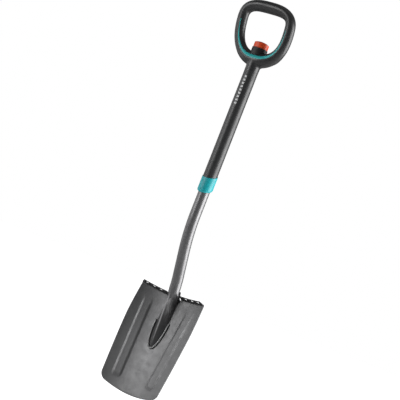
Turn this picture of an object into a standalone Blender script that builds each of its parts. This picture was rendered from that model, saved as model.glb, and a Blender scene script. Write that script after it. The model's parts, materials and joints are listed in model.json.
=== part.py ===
"""Telescopic garden spade: D-grip, push-button release, sliding shaft and pressed steel blade.

Frame: +Z up along the shaft, the blade's hollow face towards -Y, X across the blade.
The origin is on the shaft's axis, level with the underside of the grip's crossbar.
"""
import math

import bmesh
import bpy
from mathutils import Matrix, Vector

MM = 0.001
GAP = 0.3 * MM            # clearance between pieces that touch
SIDES = 24                # sides of every round piece on the shaft's axis

# D-grip: outer and inner outlines as (half width, top, middle, bottom, upper power, lower power)
GRIP_OUTER = (85.1 * MM, 29.3 * MM, -33.0 * MM, -137.6 * MM, 2.73, 2.18)
GRIP_INNER = (57.6 * MM, 0.0, -24.6 * MM, -100.3 * MM, 3.6, 2.73)
GRIP_DEPTH = 14.2 * MM    # half depth of the ring's section
YOKE_DEPTH = 20.4 * MM    # the same where the ring meets the neck
GRIP_LEAN = math.radians(12.4)
GRIP_PIVOT_Z = -108.0 * MM
NECK_R = 18.2 * MM
NECK_END_Z = -150.0 * MM
INLAY_WIDTH = 9.4 * MM   # at its lowest point
INLAY_TURN = math.radians(15.0)   # how far it lies towards the ring's inner side
INLAY_REACH = math.radians(89.0)
SCREW_Z = (-132.0 * MM, -142.0 * MM)
SCREW_R = 1.8 * MM
SCREW_HEAD_R = 3.4 * MM
SCREW_TIP_Y = 5.0 * MM
SCREW_SEAT_Y = 17.4 * MM

# Push button and its housing
BUTTON_R = 19.1 * MM
BUTTON_TOP_Z = -70.3 * MM
BUTTON_TRAVEL = 8.0 * MM
HOUSING_R = 20.4 * MM
HOUSING_RIM_Z = -88.3 * MM
HOUSING_SEAT_Z = -107.7 * MM
SKIRT_END_Z = HOUSING_SEAT_Z + 6.9 * MM + BUTTON_TRAVEL
SPIGOT_R = 15.0 * MM
SPIGOT_END_Z = -124.0 * MM
SPIGOT_FLOOR_Z = SPIGOT_END_Z + 4.0 * MM
SPRING_R = 4.9 * MM
SPRING_WIRE_R = 0.8 * MM
SPRING_TURNS = 5
ROD_R = 3.0 * MM
ROD_BORE_R = ROD_R + 0.5 * MM

# Upper shaft
SLEEVE_R = 18.0 * MM
SLEEVE_BORE_R = 16.8 * MM
SLEEVE_END_Z = -462.0 * MM
TUBE_R = 16.5 * MM
TUBE_BORE_R = 15.5 * MM
TUBE_TOP_Z = -126.0 * MM
TUBE_END_Z = -464.0 * MM
COLLAR_R = 19.4 * MM
COLLAR_TOP_Z = -436.0 * MM
COLLAR_END_Z = -476.0 * MM
COLLAR_SLANT = math.radians(21.0)
BUSH_TOP_Z = -430.0 * MM

# Carrier tube and expanding brake
CARRIER_R = 9.0 * MM
CARRIER_BORE_R = 7.4 * MM
CARRIER_FLAT_Y = 7.9 * MM
CARRIER_END_Z = -416.0 * MM
BRAKE_R = 12.2 * MM
BRAKE_TOP_Z = -408.0 * MM
BRAKE_END_Z = -462.0 * MM
SHOE_TOP_Z = -424.0 * MM
SHOE_END_Z = -450.0 * MM
SHOE_HALF_WIDTH = 6.6 * MM
LINING_R = 12.8 * MM
CONE_TOP_R = 3.7 * MM
CONE_SLOPE = 0.11

# Lower shaft: bends as (corner y, corner z, bend radius)
LOWER_R = 14.5 * MM
LOWER_BORE_R = 13.1 * MM
LOWER_TOP_Z = -205.0 * MM
FIRST_BEND = (0.0, -587.3 * MM, 350.0 * MM)
SECOND_BEND = (44.5 * MM, -740.3 * MM, 180.0 * MM)
PRESS_START = -8.0 * MM   # distances down the blade
PRESS_LENGTH = 32.0 * MM
BEND_END = 40.0 * MM
KEEL_START = 26.0 * MM
BEAD_START = 74.0 * MM
TIP_END = 146.0 * MM
TIP_HEIGHT = 1.5 * MM
KEEL_CURVE = 1.1
CREST_ROUNDING = 0.14
TIP_SPREAD = 3.0 * MM
BEAD_R = 2.3 * MM
TELESCOPE_TRAVEL = 200.0 * MM

# Blade: a pressed sheet hollowed towards the front
SHEET = 1.8 * MM
BLADE_LEAN = math.radians(9.92)
BLADE_Y = 39.9 * MM       # side edges at the fold line
BLADE_Z = -745.6 * MM
BLADE_HALF_WIDTH = 100.1 * MM
BLADE_LENGTH = 278.6 * MM
BLADE_HOLLOW = 19.3 * MM
WIDEST_AT = 83.0 * MM
TOP_TAPER = 2.7 * MM
LOW_TAPER = 10.9 * MM
LOW_TAPER_POWER = 1.3
CORNER_R = 15.0 * MM
BELLY_R = 300.0 * MM
TREAD_DEPTH = 17.9 * MM
TREAD_RISE = math.radians(16.0)
TREAD_BEND_R = 3.0 * MM
TREAD_CHAMFER = 8.9 * MM
TREAD_HOLES_X = (39.6 * MM, 60.0 * MM, 80.4 * MM)
TREAD_HOLE_OUT = 11.0 * MM
TREAD_HOLE_R = 3.9 * MM
TONGUE_HALF_WIDTH = 19.5 * MM
TONGUE_FILLET_R = 6.5 * MM
TONGUE_TOP_HALF_WIDTH = 8.0 * MM
TONGUE_RISE = 20.0 * MM
RIB_X = 63.6 * MM         # rib centre line near its upper end
RIB_TOP = 60.0 * MM
RIB_CONVERGE = 0.059
RIB_HALF_WIDTH = 11.0 * MM
RIB_WALL = 6.5 * MM
RIB_HEIGHT = 1.5 * MM
RIB_END = 240.0 * MM
RIB_CORNER_R = 4.5 * MM
RIB_FADE_START = 22.0 * MM
RIB_FADE = 45.0 * MM

MATERIALS = {
    # name: (colour, metallic, roughness)
    "grip_plastic": ((0.045, 0.047, 0.05), 0.0, 0.55),
    "inlay_plastic": ((0.05, 0.42, 0.40), 0.0, 0.45),
    "button_plastic": ((0.80, 0.09, 0.02), 0.0, 0.4),
    "housing_plastic": ((0.012, 0.012, 0.013), 0.0, 0.5),
    "sleeve_coat": ((0.05, 0.052, 0.055), 0.0, 0.45),
    "aluminium": ((0.62, 0.63, 0.65), 1.0, 0.35),
    "collar_plastic": ((0.02, 0.50, 0.50), 0.0, 0.4),
    "bearing_plastic": ((0.55, 0.55, 0.53), 0.0, 0.5),
    "shaft_steel": ((0.22, 0.22, 0.23), 1.0, 0.3),
    "blade_steel": ((0.20, 0.20, 0.205), 1.0, 0.45),
    "weld_steel": ((0.4, 0.4, 0.4), 1.0, 0.4),
    "fastener_steel": ((0.6, 0.6, 0.6), 1.0, 0.3),
    "brake_rubber": ((0.03, 0.03, 0.03), 0.0, 0.9),
}


def clear_scene():
    for item in list(bpy.data.objects):
        bpy.data.objects.remove(item, do_unlink=True)


def new_collection(name):
    collection = bpy.data.collections.new(name)
    bpy.context.scene.collection.children.link(collection)
    return collection


def material(name):
    found = bpy.data.materials.get(name)
    if found:
        return found
    colour, metallic, roughness = MATERIALS[name]
    made = bpy.data.materials.new(name)
    made.use_nodes = True
    shader = made.node_tree.nodes["Principled BSDF"]
    shader.inputs["Base Color"].default_value = (*colour, 1.0)
    shader.inputs["Metallic"].default_value = metallic
    shader.inputs["Roughness"].default_value = roughness
    made.diffuse_color = (*colour, 1.0)
    return made


def add_object(name, mesh, look=None, location=(0.0, 0.0, 0.0)):
    """Puts a mesh in the part's collection, or among the cutters when it has no material."""
    made = bpy.data.objects.new(name, mesh)
    made.location = location
    if look:
        PART.objects.link(made)
        mesh.materials.append(material(look))
    else:
        CUTTERS.objects.link(made)
        made.hide_render = True
        made.display_type = "WIRE"
    return made


def smooth(made, angle=35.0):
    made.data.shade_smooth()
    made.data.set_sharp_from_angle(angle=math.radians(angle))


def boolean(made, other, operation="DIFFERENCE"):
    modifier = made.modifiers.new(operation.title(), "BOOLEAN")
    modifier.operation = operation
    modifier.solver = "EXACT"
    modifier.object = other
    return made


def turned(name, profile, look=None, location=(0.0, 0.0, 0.0), steps=SIDES):
    """A profile of (radius, z) turned about Z. A ring's profile is a closed loop."""
    mesh = bpy.data.meshes.new(name)
    points = [(radius, 0.0, z) for radius, z in profile]
    on_axis = profile[0][0] == 0.0 and profile[-1][0] == 0.0
    edges = [(i, i + 1) for i in range(len(points) - 1)]
    if not on_axis:
        edges.append((len(points) - 1, 0))
    mesh.from_pydata(points, edges, [])
    made = add_object(name, mesh, look, location)
    screw = made.modifiers.new("Screw", "SCREW")
    screw.axis = "Z"
    screw.steps = steps
    screw.render_steps = steps
    screw.use_merge_vertices = True
    screw.merge_threshold = 1e-5
    screw.use_smooth_shade = True
    return made


def tube_profile(outer, inner, top, bottom):
    """Closed profile of a plain tube, down its outside and up its bore."""
    return [(outer, top), (outer, bottom), (inner, bottom), (inner, top)]


def rod_between(name, start, end, radius, look=None, sides=16):
    """A cylinder from one point to another."""
    start, end = Vector(start), Vector(end)
    mesh = bpy.data.meshes.new(name)
    shape = bmesh.new()
    turn = Vector((0.0, 0.0, 1.0)).rotation_difference(end - start).to_matrix().to_4x4()
    place = Matrix.Translation((start + end) / 2.0) @ turn
    bmesh.ops.create_cone(shape, cap_ends=True, segments=sides, radius1=radius, radius2=radius,
                          depth=(end - start).length, matrix=place)
    shape.to_mesh(mesh)
    shape.free()
    return add_object(name, mesh, look)


def block(name, low, high, look=None):
    low, high = Vector(low), Vector(high)
    mesh = bpy.data.meshes.new(name)
    shape = bmesh.new()
    size = Matrix.Diagonal((*(high - low), 1.0))
    bmesh.ops.create_cube(shape, size=1.0, matrix=Matrix.Translation((low + high) / 2.0) @ size)
    shape.to_mesh(mesh)
    shape.free()
    return add_object(name, mesh, look)


def loft(name, sections, look=None, closed=False):
    """Skins equal rings of points, and fills the two end rings unless the loft closes on itself."""
    shape = bmesh.new()
    rings = [[shape.verts.new(point) for point in section] for section in sections]
    count = len(rings[0])
    pairs = list(zip(rings, rings[1:]))
    if closed:
        pairs.append((rings[-1], rings[0]))
    for first, second in pairs:
        for i in range(count):
            j = (i + 1) % count
            shape.faces.new((first[i], first[j], second[j], second[i]))
    if not closed:
        shape.faces.new(rings[0])
        shape.faces.new(rings[-1])
    bmesh.ops.recalc_face_normals(shape, faces=shape.faces)
    mesh = bpy.data.meshes.new(name)
    shape.to_mesh(mesh)
    shape.free()
    return add_object(name, mesh, look)


# ---------------------------------------------------------------- grip

def outline_point(outline, angle):
    """Point (x, z) of a rounded outline that is squarer above its middle than below."""
    width, top, middle, bottom, upper, lower = outline
    cos_a, sin_a = math.cos(angle), math.sin(angle)
    power = 2.0 / (upper if sin_a > 0.0 else lower)
    height = top - middle if sin_a > 0.0 else middle - bottom
    x = width * math.copysign(abs(cos_a) ** power, cos_a)
    z = middle + height * math.copysign(abs(sin_a) ** power, sin_a)
    return x, z


def ring_section(angle):
    """Centre and radial half vector of the grip ring's section, both as (x, z)."""
    outer_x, outer_z = outline_point(GRIP_OUTER, angle)
    inner_x, inner_z = outline_point(GRIP_INNER, angle)
    centre = ((outer_x + inner_x) / 2.0, (outer_z + inner_z) / 2.0)
    radial = ((outer_x - inner_x) / 2.0, (outer_z - inner_z) / 2.0)
    return centre, radial


def ring_depth(angle):
    """The ring is deeper where it meets the neck."""
    low = max(0.0, -math.sin(angle))
    return GRIP_DEPTH + (YOKE_DEPTH - GRIP_DEPTH) * low ** 6


def leaned(x, y, z):
    """The grip leans forward above its neck."""
    return x, y - max(0.0, z - GRIP_PIVOT_Z) * math.tan(GRIP_LEAN), z


def grip_point(angle, turn, grow=0.0):
    """Point on the ring's skin: turn runs round the section from its outer side."""
    (centre_x, centre_z), (radial_x, radial_z) = ring_section(angle)
    scale = 1.0 + grow / math.hypot(radial_x, radial_z)
    across = math.cos(turn) * scale
    y = math.sin(turn) * (ring_depth(angle) + grow)
    return leaned(centre_x + radial_x * across, y, centre_z + radial_z * across)


def make_grip():
    ring_steps = 48
    section_steps = 16
    sections = []
    for i in range(ring_steps):
        angle = 2.0 * math.pi * i / ring_steps
        turns = [2.0 * math.pi * k / section_steps for k in range(section_steps)]
        sections.append([grip_point(angle, turn) for turn in turns])
    grip = loft("grip_body", sections, "grip_plastic", closed=True)
    neck = turned("neck_shape", [
        (0.0, -104.0 * MM),
        (20.0 * MM, -104.0 * MM),
        (20.0 * MM, -110.0 * MM),
        (19.4 * MM, -120.0 * MM),
        (18.5 * MM, -135.0 * MM),
        (NECK_R, NECK_END_Z),
        (0.0, NECK_END_Z)])
    boolean(grip, neck, "UNION")
    boolean(grip, turned("grip_bore", [
        (0.0, -60.0 * MM),
        (HOUSING_R + 0.4 * MM, -60.0 * MM),
        (HOUSING_R + 0.4 * MM, HOUSING_SEAT_Z - GAP),
        (SPIGOT_R + GAP, HOUSING_SEAT_Z - GAP),
        (SPIGOT_R + GAP, TUBE_TOP_Z + GAP),
        (TUBE_R + GAP, TUBE_TOP_Z + GAP),
        (TUBE_R + GAP, NECK_END_Z - 5.0 * MM),
        (0.0, NECK_END_Z - 5.0 * MM)]))
    boolean(grip, make_inlay_groove())
    for cutter in screw_holes():
        boolean(grip, cutter)
    smooth(grip)


def inlay_half_width(along):
    """The strip thins out up both arms, along running from -1 to 1."""
    return INLAY_WIDTH / 2.0 * max(0.16, 1.0 - 0.75 * abs(along) - 0.2 * abs(along) ** 3)


def inlay_sections(grow, inside, outside):
    """Sections of a strip along the ring's front, from depth inside to height outside the skin."""
    steps = 40
    sections = []
    for i in range(steps + 1):
        along = -1.0 + 2.0 * i / steps
        angle = math.radians(270.0) + along * INLAY_REACH
        _, (radial_x, radial_z) = ring_section(angle)
        spread = (inlay_half_width(along) + grow) / math.hypot(radial_x, radial_z)
        front = math.radians(-90.0) - INLAY_TURN
        turns = (front - spread, front, front + spread)
        under = [grip_point(angle, turn, -inside) for turn in turns]
        over = [grip_point(angle, turn, outside) for turn in reversed(turns)]
        sections.append(under + over)
    return sections


def make_inlay_groove():
    return loft("inlay_groove", inlay_sections(GAP, 2.0 * MM, 8.0 * MM))


def make_inlay():
    """The strip is the groove's lower layer, so it ends flush with the ring's skin."""
    smooth(loft("grip_inlay", inlay_sections(0.0, 1.6 * MM, 0.0), "inlay_plastic"))


def screw_holes():
    """Clearance holes for the two screws that enter the neck from behind."""
    holes = []
    for i, z in enumerate(SCREW_Z):
        shank = rod_between(f"screw_hole_{i}", (0.0, SCREW_TIP_Y - 1.0 * MM, z),
                            (0.0, 30.0 * MM, z), SCREW_R + GAP)
        head = rod_between(f"screw_sink_{i}", (0.0, SCREW_SEAT_Y, z),
                           (0.0, 30.0 * MM, z), SCREW_HEAD_R + GAP)
        holes += [shank, head]
    return holes


def make_grip_screws():
    """Two equal screws, driven into the neck from behind."""
    head_y = SCREW_SEAT_Y + GAP
    for i, z in enumerate(SCREW_Z):
        screw = turned(f"grip_screw_{i + 1}", [
            (0.0, head_y + 1.3 * MM),
            (SCREW_HEAD_R - 0.2 * MM, head_y + 1.3 * MM),
            (SCREW_HEAD_R, head_y + 0.9 * MM),
            (SCREW_HEAD_R, head_y),
            (SCREW_R, head_y),
            (SCREW_R, SCREW_TIP_Y),
            (0.0, SCREW_TIP_Y)], "fastener_steel", location=(0.0, 0.0, z), steps=16)
        screw.rotation_euler = (math.radians(-90.0), 0.0, 0.0)


# ---------------------------------------------------------------- button and brake

def make_button():
    socket_r = ROD_R + 3.0 * MM
    turned("button_cap", [
        (0.0, BUTTON_TOP_Z),
        (6.0 * MM, BUTTON_TOP_Z - 0.35 * MM),
        (12.0 * MM, BUTTON_TOP_Z - 1.5 * MM),
        (BUTTON_R - 1.0 * MM, BUTTON_TOP_Z - 3.9 * MM),
        (BUTTON_R, BUTTON_TOP_Z - 5.2 * MM),
        (BUTTON_R, SKIRT_END_Z),
        (BUTTON_R - 2.0 * MM, SKIRT_END_Z),
        (BUTTON_R - 2.0 * MM, BUTTON_TOP_Z - 8.0 * MM),
        (socket_r, BUTTON_TOP_Z - 6.0 * MM),
        (socket_r, SKIRT_END_Z),
        (ROD_R + GAP, SKIRT_END_Z),
        (ROD_R + GAP, BUTTON_TOP_Z - 8.0 * MM),
        (0.0, BUTTON_TOP_Z - 8.0 * MM)], "button_plastic")
    turned("button_housing", [
        (HOUSING_R - 0.3 * MM, HOUSING_RIM_Z),
        (HOUSING_R, HOUSING_RIM_Z - 0.6 * MM),
        (HOUSING_R, HOUSING_SEAT_Z),
        (SPIGOT_R, HOUSING_SEAT_Z),
        (SPIGOT_R, SPIGOT_END_Z),
        (ROD_BORE_R, SPIGOT_END_Z),
        (ROD_BORE_R, SPIGOT_FLOOR_Z),
        (11.0 * MM, SPIGOT_FLOOR_Z),
        (11.0 * MM, HOUSING_SEAT_Z + 5.0 * MM),
        (BUTTON_R + 0.3 * MM, HOUSING_SEAT_Z + 6.0 * MM),
        (BUTTON_R + 0.3 * MM, HOUSING_RIM_Z)], "housing_plastic")


def cone_radius(z):
    """Radius of the brake cone, which widens downward."""
    return CONE_TOP_R + (SHOE_TOP_Z - z) * CONE_SLOPE


def make_rod():
    """Push rod from the button's socket down to the brake cone."""
    turned("push_rod", [
        (0.0, BUTTON_TOP_Z - 8.3 * MM),
        (ROD_R, BUTTON_TOP_Z - 8.3 * MM),
        (ROD_R, SHOE_TOP_Z + 1.0 * MM),
        (2.0 * MM, SHOE_TOP_Z + 1.0 * MM),
        (2.0 * MM, SHOE_END_Z - 5.0 * MM),
        (0.0, SHOE_END_Z - 5.0 * MM)], "fastener_steel", steps=16)
    turned("brake_cone", [
        (CONE_TOP_R - 0.3 * MM, SHOE_TOP_Z + 0.5 * MM),
        (cone_radius(SHOE_TOP_Z), SHOE_TOP_Z),
        (cone_radius(SHOE_END_Z), SHOE_END_Z),
        (2.0 * MM + GAP, SHOE_END_Z),
        (2.0 * MM + GAP, SHOE_TOP_Z + 0.5 * MM)], "fastener_steel")
    turned("rod_clip", tube_profile(5.0 * MM, 2.0 * MM + GAP, SHOE_END_Z - 1.0 * MM,
                                    SHOE_END_Z - 3.0 * MM), "fastener_steel", steps=16)


def make_spring():
    """Compression spring round the push rod, between the housing's floor and the button."""
    low = SPIGOT_FLOOR_Z + SPRING_WIRE_R + GAP
    high = SKIRT_END_Z - SPRING_WIRE_R - GAP
    curve = bpy.data.curves.new("button_spring", "CURVE")
    curve.dimensions = "3D"
    curve.bevel_depth = SPRING_WIRE_R
    curve.bevel_resolution = 1
    curve.use_fill_caps = True
    spline = curve.splines.new("POLY")
    per_turn = 10
    count = SPRING_TURNS * per_turn
    spline.points.add(count)
    for i in range(count + 1):
        angle = 2.0 * math.pi * i / per_turn
        z = low + (high - low) * i / count
        spline.points[i].co = (SPRING_R * math.cos(angle), SPRING_R * math.sin(angle), z, 1.0)
    made = bpy.data.objects.new("button_spring_path", curve)
    bpy.context.scene.collection.objects.link(made)
    mesh_from_curve(made, "button_spring", "fastener_steel")


def mesh_from_curve(made, name, look=None):
    """Makes a bevelled curve a closed mesh, with its caps joined on."""
    bpy.context.view_layer.update()
    graph = bpy.context.evaluated_depsgraph_get()
    mesh = bpy.data.meshes.new_from_object(made.evaluated_get(graph))
    mesh.name = name
    shape = bmesh.new()
    shape.from_mesh(mesh)
    bmesh.ops.remove_doubles(shape, verts=shape.verts, dist=1e-6)
    bmesh.ops.recalc_face_normals(shape, faces=shape.faces)
    shape.to_mesh(mesh)
    shape.free()
    place = made.matrix_world.copy()
    bpy.data.objects.remove(made, do_unlink=True)
    result = add_object(name, mesh, look)
    result.matrix_world = place
    return result


def make_carrier():
    """Plug and tube that hold the brake inside the sliding shaft, with a flat that stops turning."""
    head_top = SPIGOT_END_Z - 2.5 * MM
    head_end = head_top - 20.5 * MM
    carrier = turned("carrier_tube", [
        (TUBE_BORE_R - GAP, head_top),
        (TUBE_BORE_R - GAP, head_end),
        (CARRIER_R, head_end),
        (CARRIER_R, CARRIER_END_Z),
        (CARRIER_BORE_R, CARRIER_END_Z),
        (CARRIER_BORE_R, head_end + 2.0 * MM),
        (ROD_BORE_R, head_end + 4.0 * MM),
        (ROD_BORE_R, head_top)], "aluminium")
    boolean(carrier, block("carrier_flat", (-12.0 * MM, CARRIER_FLAT_Y, CARRIER_END_Z - 6.0 * MM),
                           (12.0 * MM, 14.0 * MM, head_end - 5.0 * MM)))
    for cutter in screw_holes():
        boolean(carrier, cutter)


def make_brake():
    """Housing with two windows, and a shoe and lining that slide in each."""
    window_top, window_end = SHOE_TOP_Z + GAP, SHOE_END_Z - GAP
    slot = SHOE_HALF_WIDTH + GAP
    housing = turned("brake_housing", [
        (BRAKE_R, BRAKE_TOP_Z),
        (BRAKE_R, BRAKE_END_Z),
        (8.0 * MM, BRAKE_END_Z),
        (8.0 * MM, window_top),
        (ROD_BORE_R, window_top + 2.0 * MM),
        (ROD_BORE_R, CARRIER_END_Z - GAP),
        (CARRIER_R + GAP, CARRIER_END_Z - GAP),
        (CARRIER_R + GAP, BRAKE_TOP_Z)], "housing_plastic")
    boolean(housing, block("shoe_window", (-15.0 * MM, -slot, window_end),
                           (15.0 * MM, slot, window_top)))
    groove = ring_tube("ring_groove", 11.8 * MM, 1.4 * MM)
    boolean(housing, groove)
    hollow = turned("cone_hollow", [
        (0.0, SHOE_TOP_Z + 5.0 * MM),
        (cone_radius(SHOE_TOP_Z + 5.0 * MM) + GAP, SHOE_TOP_Z + 5.0 * MM),
        (cone_radius(SHOE_END_Z - 5.0 * MM) + GAP, SHOE_END_Z - 5.0 * MM),
        (0.0, SHOE_END_Z - 5.0 * MM)])
    for side, sign in (("left", -1.0), ("right", 1.0)):
        shoe = sector(f"brake_shoe_{side}", sign, 1.3 * MM, 11.2 * MM, SHOE_TOP_Z, SHOE_END_Z,
                      "aluminium")
        boolean(shoe, hollow)
        boolean(shoe, groove)
        sector(f"shoe_lining_{side}", sign, 11.5 * MM, LINING_R, SHOE_TOP_Z - 5.5 * MM,
               SHOE_END_Z + 1.5 * MM, "brake_rubber", arc_inside=True)
    ring_tube("return_ring", 11.4 * MM, 0.6 * MM, "brake_rubber")


def ring_tube(name, radius, thickness, look=None):
    """Elastic ring, or its groove, near the shoes' upper ends."""
    mesh_z = SHOE_TOP_Z - 2.5 * MM
    profile = []
    for i in range(8):
        angle = -2.0 * math.pi * i / 8
        profile.append((radius + thickness * math.cos(angle), mesh_z + thickness * math.sin(angle)))
    return turned(name, profile, look)


def sector(name, sign, near, far, top, bottom, look, arc_inside=False):
    """A block between two distances from the axis, its outer face an arc of the same centre."""
    steps = 6
    limit = SHOE_HALF_WIDTH - (1.0 * MM if arc_inside else 0.0)
    arc = []
    for i in range(steps + 1):
        y = -limit + 2.0 * limit * i / steps
        arc.append((math.sqrt(far * far - y * y), y))
    if arc_inside:
        inner = [(math.sqrt(near * near - y * y), y) for _, y in reversed(arc)]
    else:
        inner = [(near, limit), (near, -limit)]
    outline = [(sign * x, y) for x, y in arc + inner]
    return loft(name, [[(x, y, bottom) for x, y in outline], [(x, y, top) for x, y in outline]],
                look)


# ---------------------------------------------------------------- shafts

def make_upper_shaft():
    turned("upper_sleeve", tube_profile(SLEEVE_R, SLEEVE_BORE_R, NECK_END_Z - GAP,
                                                 SLEEVE_END_Z), "sleeve_coat")
    tube = turned("upper_tube", tube_profile(TUBE_R, TUBE_BORE_R, TUBE_TOP_Z, TUBE_END_Z),
                  "aluminium")
    for cutter in screw_holes():
        boolean(tube, cutter)


def make_collar():
    """Coloured end collar with slanted ends, and the bearing bush that it holds."""
    lip = LOWER_R + 0.5 * MM
    collar = turned("collar", [
        (COLLAR_R, COLLAR_TOP_Z + 15.0 * MM),
        (COLLAR_R, COLLAR_END_Z - 15.0 * MM),
        (lip, COLLAR_END_Z - 15.0 * MM),
        (lip, TUBE_END_Z - 1.5 * MM),
        (SLEEVE_R + GAP, TUBE_END_Z - 1.5 * MM),
        (SLEEVE_R + GAP, COLLAR_TOP_Z + 15.0 * MM)], "collar_plastic")
    for name, z, direction in (("collar_top_cut", COLLAR_TOP_Z, 1.0),
                               ("collar_end_cut", COLLAR_END_Z, -1.0)):
        size = 60.0 * MM
        low = (-size, -size, 0.0) if direction > 0.0 else (-size, -size, -size)
        high = (size, size, size) if direction > 0.0 else (size, size, 0.0)
        cutter = block(name, low, high)
        cutter.rotation_euler = (COLLAR_SLANT, 0.0, 0.0)
        cutter.location = (0.0, 0.0, z)
        boolean(collar, cutter)
    turned("collar_bush", [
        (TUBE_BORE_R - 0.15 * MM, BUSH_TOP_Z),
        (TUBE_BORE_R - 0.15 * MM, TUBE_END_Z - 0.3 * MM),
        (TUBE_R + 0.2 * MM, TUBE_END_Z - 0.3 * MM),
        (TUBE_R + 0.2 * MM, TUBE_END_Z - 1.2 * MM),
        (LOWER_R + 0.15 * MM, TUBE_END_Z - 1.2 * MM),
        (LOWER_R + 0.15 * MM, BUSH_TOP_Z)], "bearing_plastic")


def blade_frame(x, down, forward):
    """World point of a place on the leaning blade: down its length, forward of its side edges."""
    cos_l, sin_l = math.cos(BLADE_LEAN), math.sin(BLADE_LEAN)
    return Vector((x, BLADE_Y - forward * cos_l - down * sin_l,
                   BLADE_Z + forward * sin_l - down * cos_l))


def hollow_at(x):
    """The sheet's middle surface, measured forward of the blade's side edges."""
    return -BLADE_HOLLOW * (1.0 - (x / (100.0 * MM)) ** 2)


def bend_points(corner, radius, before, after, steps):
    """Arc that rounds a corner between two directions."""
    angle = before.angle(after)
    reach = radius * math.tan(angle / 2.0)
    start = corner - before * reach
    inward = (after - before * before.dot(after)).normalized()
    centre = start + inward * radius
    points = []
    for i in range(steps + 1):
        turn = angle * i / steps
        points.append(centre - inward * radius * math.cos(turn) + before * radius * math.sin(turn))
    return points


def ease(value):
    """Smooth step from 0 to 1."""
    value = min(1.0, max(0.0, value))
    return value * value * (3.0 - 2.0 * value)


def down_of(point):
    """How far down the blade a point lies."""
    down_x, down_y = -math.sin(BLADE_LEAN), -math.cos(BLADE_LEAN)
    return (point.y - BLADE_Y) * down_x + (point.z - BLADE_Z) * down_y


def tip_half_width(down):
    """Half width of the tube's pressed end: it spreads a little, then closes in a round tip."""
    spread = LOWER_R + TIP_SPREAD * ease(down / BEAD_START)
    closing = max(0.0, (down - BEAD_START) / (TIP_END - BEAD_START))
    return spread * math.sqrt(max(0.0, 1.0 - closing ** 2))


def tube_section(down):
    """The tube's section at a place on the blade: half width, front, back, set back, pressed.

    The round tube is pressed to a keel whose foot lies on the sheet and whose crest runs down
    to the sheet at the tip.
    """
    pressed = ease((down - PRESS_START) / PRESS_LENGTH)
    sunk = max(0.0, (down - KEEL_START) / (TIP_END - KEEL_START))
    height = 2.0 * LOWER_R - (2.0 * LOWER_R - TIP_HEIGHT) * sunk ** KEEL_CURVE
    level = min(LOWER_R * (1.0 - 0.9 * pressed), 0.5 * height)
    width = max(0.5 * MM, tip_half_width(down))
    return width, height - level, level, LOWER_R - level, pressed


def lower_path():
    """Centre line of the round lower tube, from its top end on down to its tip."""
    straight = Vector((0.0, 0.0, -1.0))
    first = Vector((0.0, FIRST_BEND[0], FIRST_BEND[1]))
    second = Vector((0.0, SECOND_BEND[0], SECOND_BEND[1]))
    middle = (second - first).normalized()
    along_blade = Vector((0.0, -math.sin(BLADE_LEAN), -math.cos(BLADE_LEAN)))
    path = [Vector((0.0, 0.0, LOWER_TOP_Z))]
    path += bend_points(first, FIRST_BEND[2], straight, middle, 5)
    path += bend_points(second, SECOND_BEND[2], middle, along_blade, 7)
    front = hollow_at(0.0) + SHEET / 2.0 + GAP + 0.1 * MM + LOWER_R
    steps = 10
    for i in range(steps + 1):
        turn = math.radians(84.0) * i / steps
        down = BEND_END + (TIP_END - BEND_END) * math.sin(turn)
        path.append(blade_frame(0.0, down, front))
    return path


def keel(across):
    """Height of two flat flanks under a rounded crest, from 1 at the middle to 0 at each side."""
    rounding = CREST_ROUNDING
    return 1.0 - (math.hypot(across, rounding) - rounding) / (math.hypot(1.0, rounding) - rounding)


def path_sections(path, section_of):
    """Rings square to the path, which stays in the plane X = 0."""
    sections = []
    side = Vector((1.0, 0.0, 0.0))
    for i, point in enumerate(path):
        ahead = path[min(i + 1, len(path) - 1)]
        behind = path[max(i - 1, 0)]
        rearward = side.cross((ahead - behind).normalized())
        width, front, back, set_back, pressed = section_of(down_of(point))
        ring = []
        for k in range(SIDES):
            turn = 2.0 * math.pi * k / SIDES
            across, deep = math.cos(turn), back * math.sin(turn)
            if deep < 0.0:
                deep = front * (math.sin(turn) * (1.0 - pressed) - keel(across) * pressed)
            ring.append(point + side * width * across + rearward * (set_back + deep))
        sections.append(ring)
    return sections


def bore_section(_):
    return LOWER_BORE_R, LOWER_BORE_R, LOWER_BORE_R, 0.0, 0.0


def make_lower_tube():
    path = lower_path()
    tube = loft("lower_tube", path_sections(path, tube_section), "shaft_steel")
    bore = [point for point in path if down_of(point) < PRESS_START]
    bore[0] = bore[0] + Vector((0.0, 0.0, 5.0 * MM))
    boolean(tube, loft("lower_bore", path_sections(bore, bore_section)))
    smooth(tube)


def make_guide_ring():
    """Slide bush on the lower tube's top end, keyed to the carrier's flat."""
    skirt_end = BUSH_TOP_Z + TELESCOPE_TRAVEL + 0.5 * MM
    ring = turned("guide_ring", [
        (TUBE_BORE_R - 0.2 * MM, LOWER_TOP_Z + 6.0 * MM),
        (TUBE_BORE_R - 0.2 * MM, skirt_end),
        (LOWER_R + 0.2 * MM, skirt_end),
        (LOWER_R + 0.2 * MM, LOWER_TOP_Z + GAP),
        (2.0 * MM, LOWER_TOP_Z + GAP),
        (2.0 * MM, LOWER_TOP_Z + 6.0 * MM)], "bearing_plastic")
    keyway = turned("carrier_keyway", [
        (0.0, LOWER_TOP_Z + 20.0 * MM),
        (CARRIER_R + GAP, LOWER_TOP_Z + 20.0 * MM),
        (CARRIER_R + GAP, LOWER_TOP_Z - 20.0 * MM),
        (0.0, LOWER_TOP_Z - 20.0 * MM)])
    boolean(keyway, block("keyway_flat", (-12.0 * MM, CARRIER_FLAT_Y + GAP, LOWER_TOP_Z - 30.0 * MM),
                          (12.0 * MM, 14.0 * MM, LOWER_TOP_Z + 30.0 * MM)))
    boolean(ring, keyway)


# ---------------------------------------------------------------- blade

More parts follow.
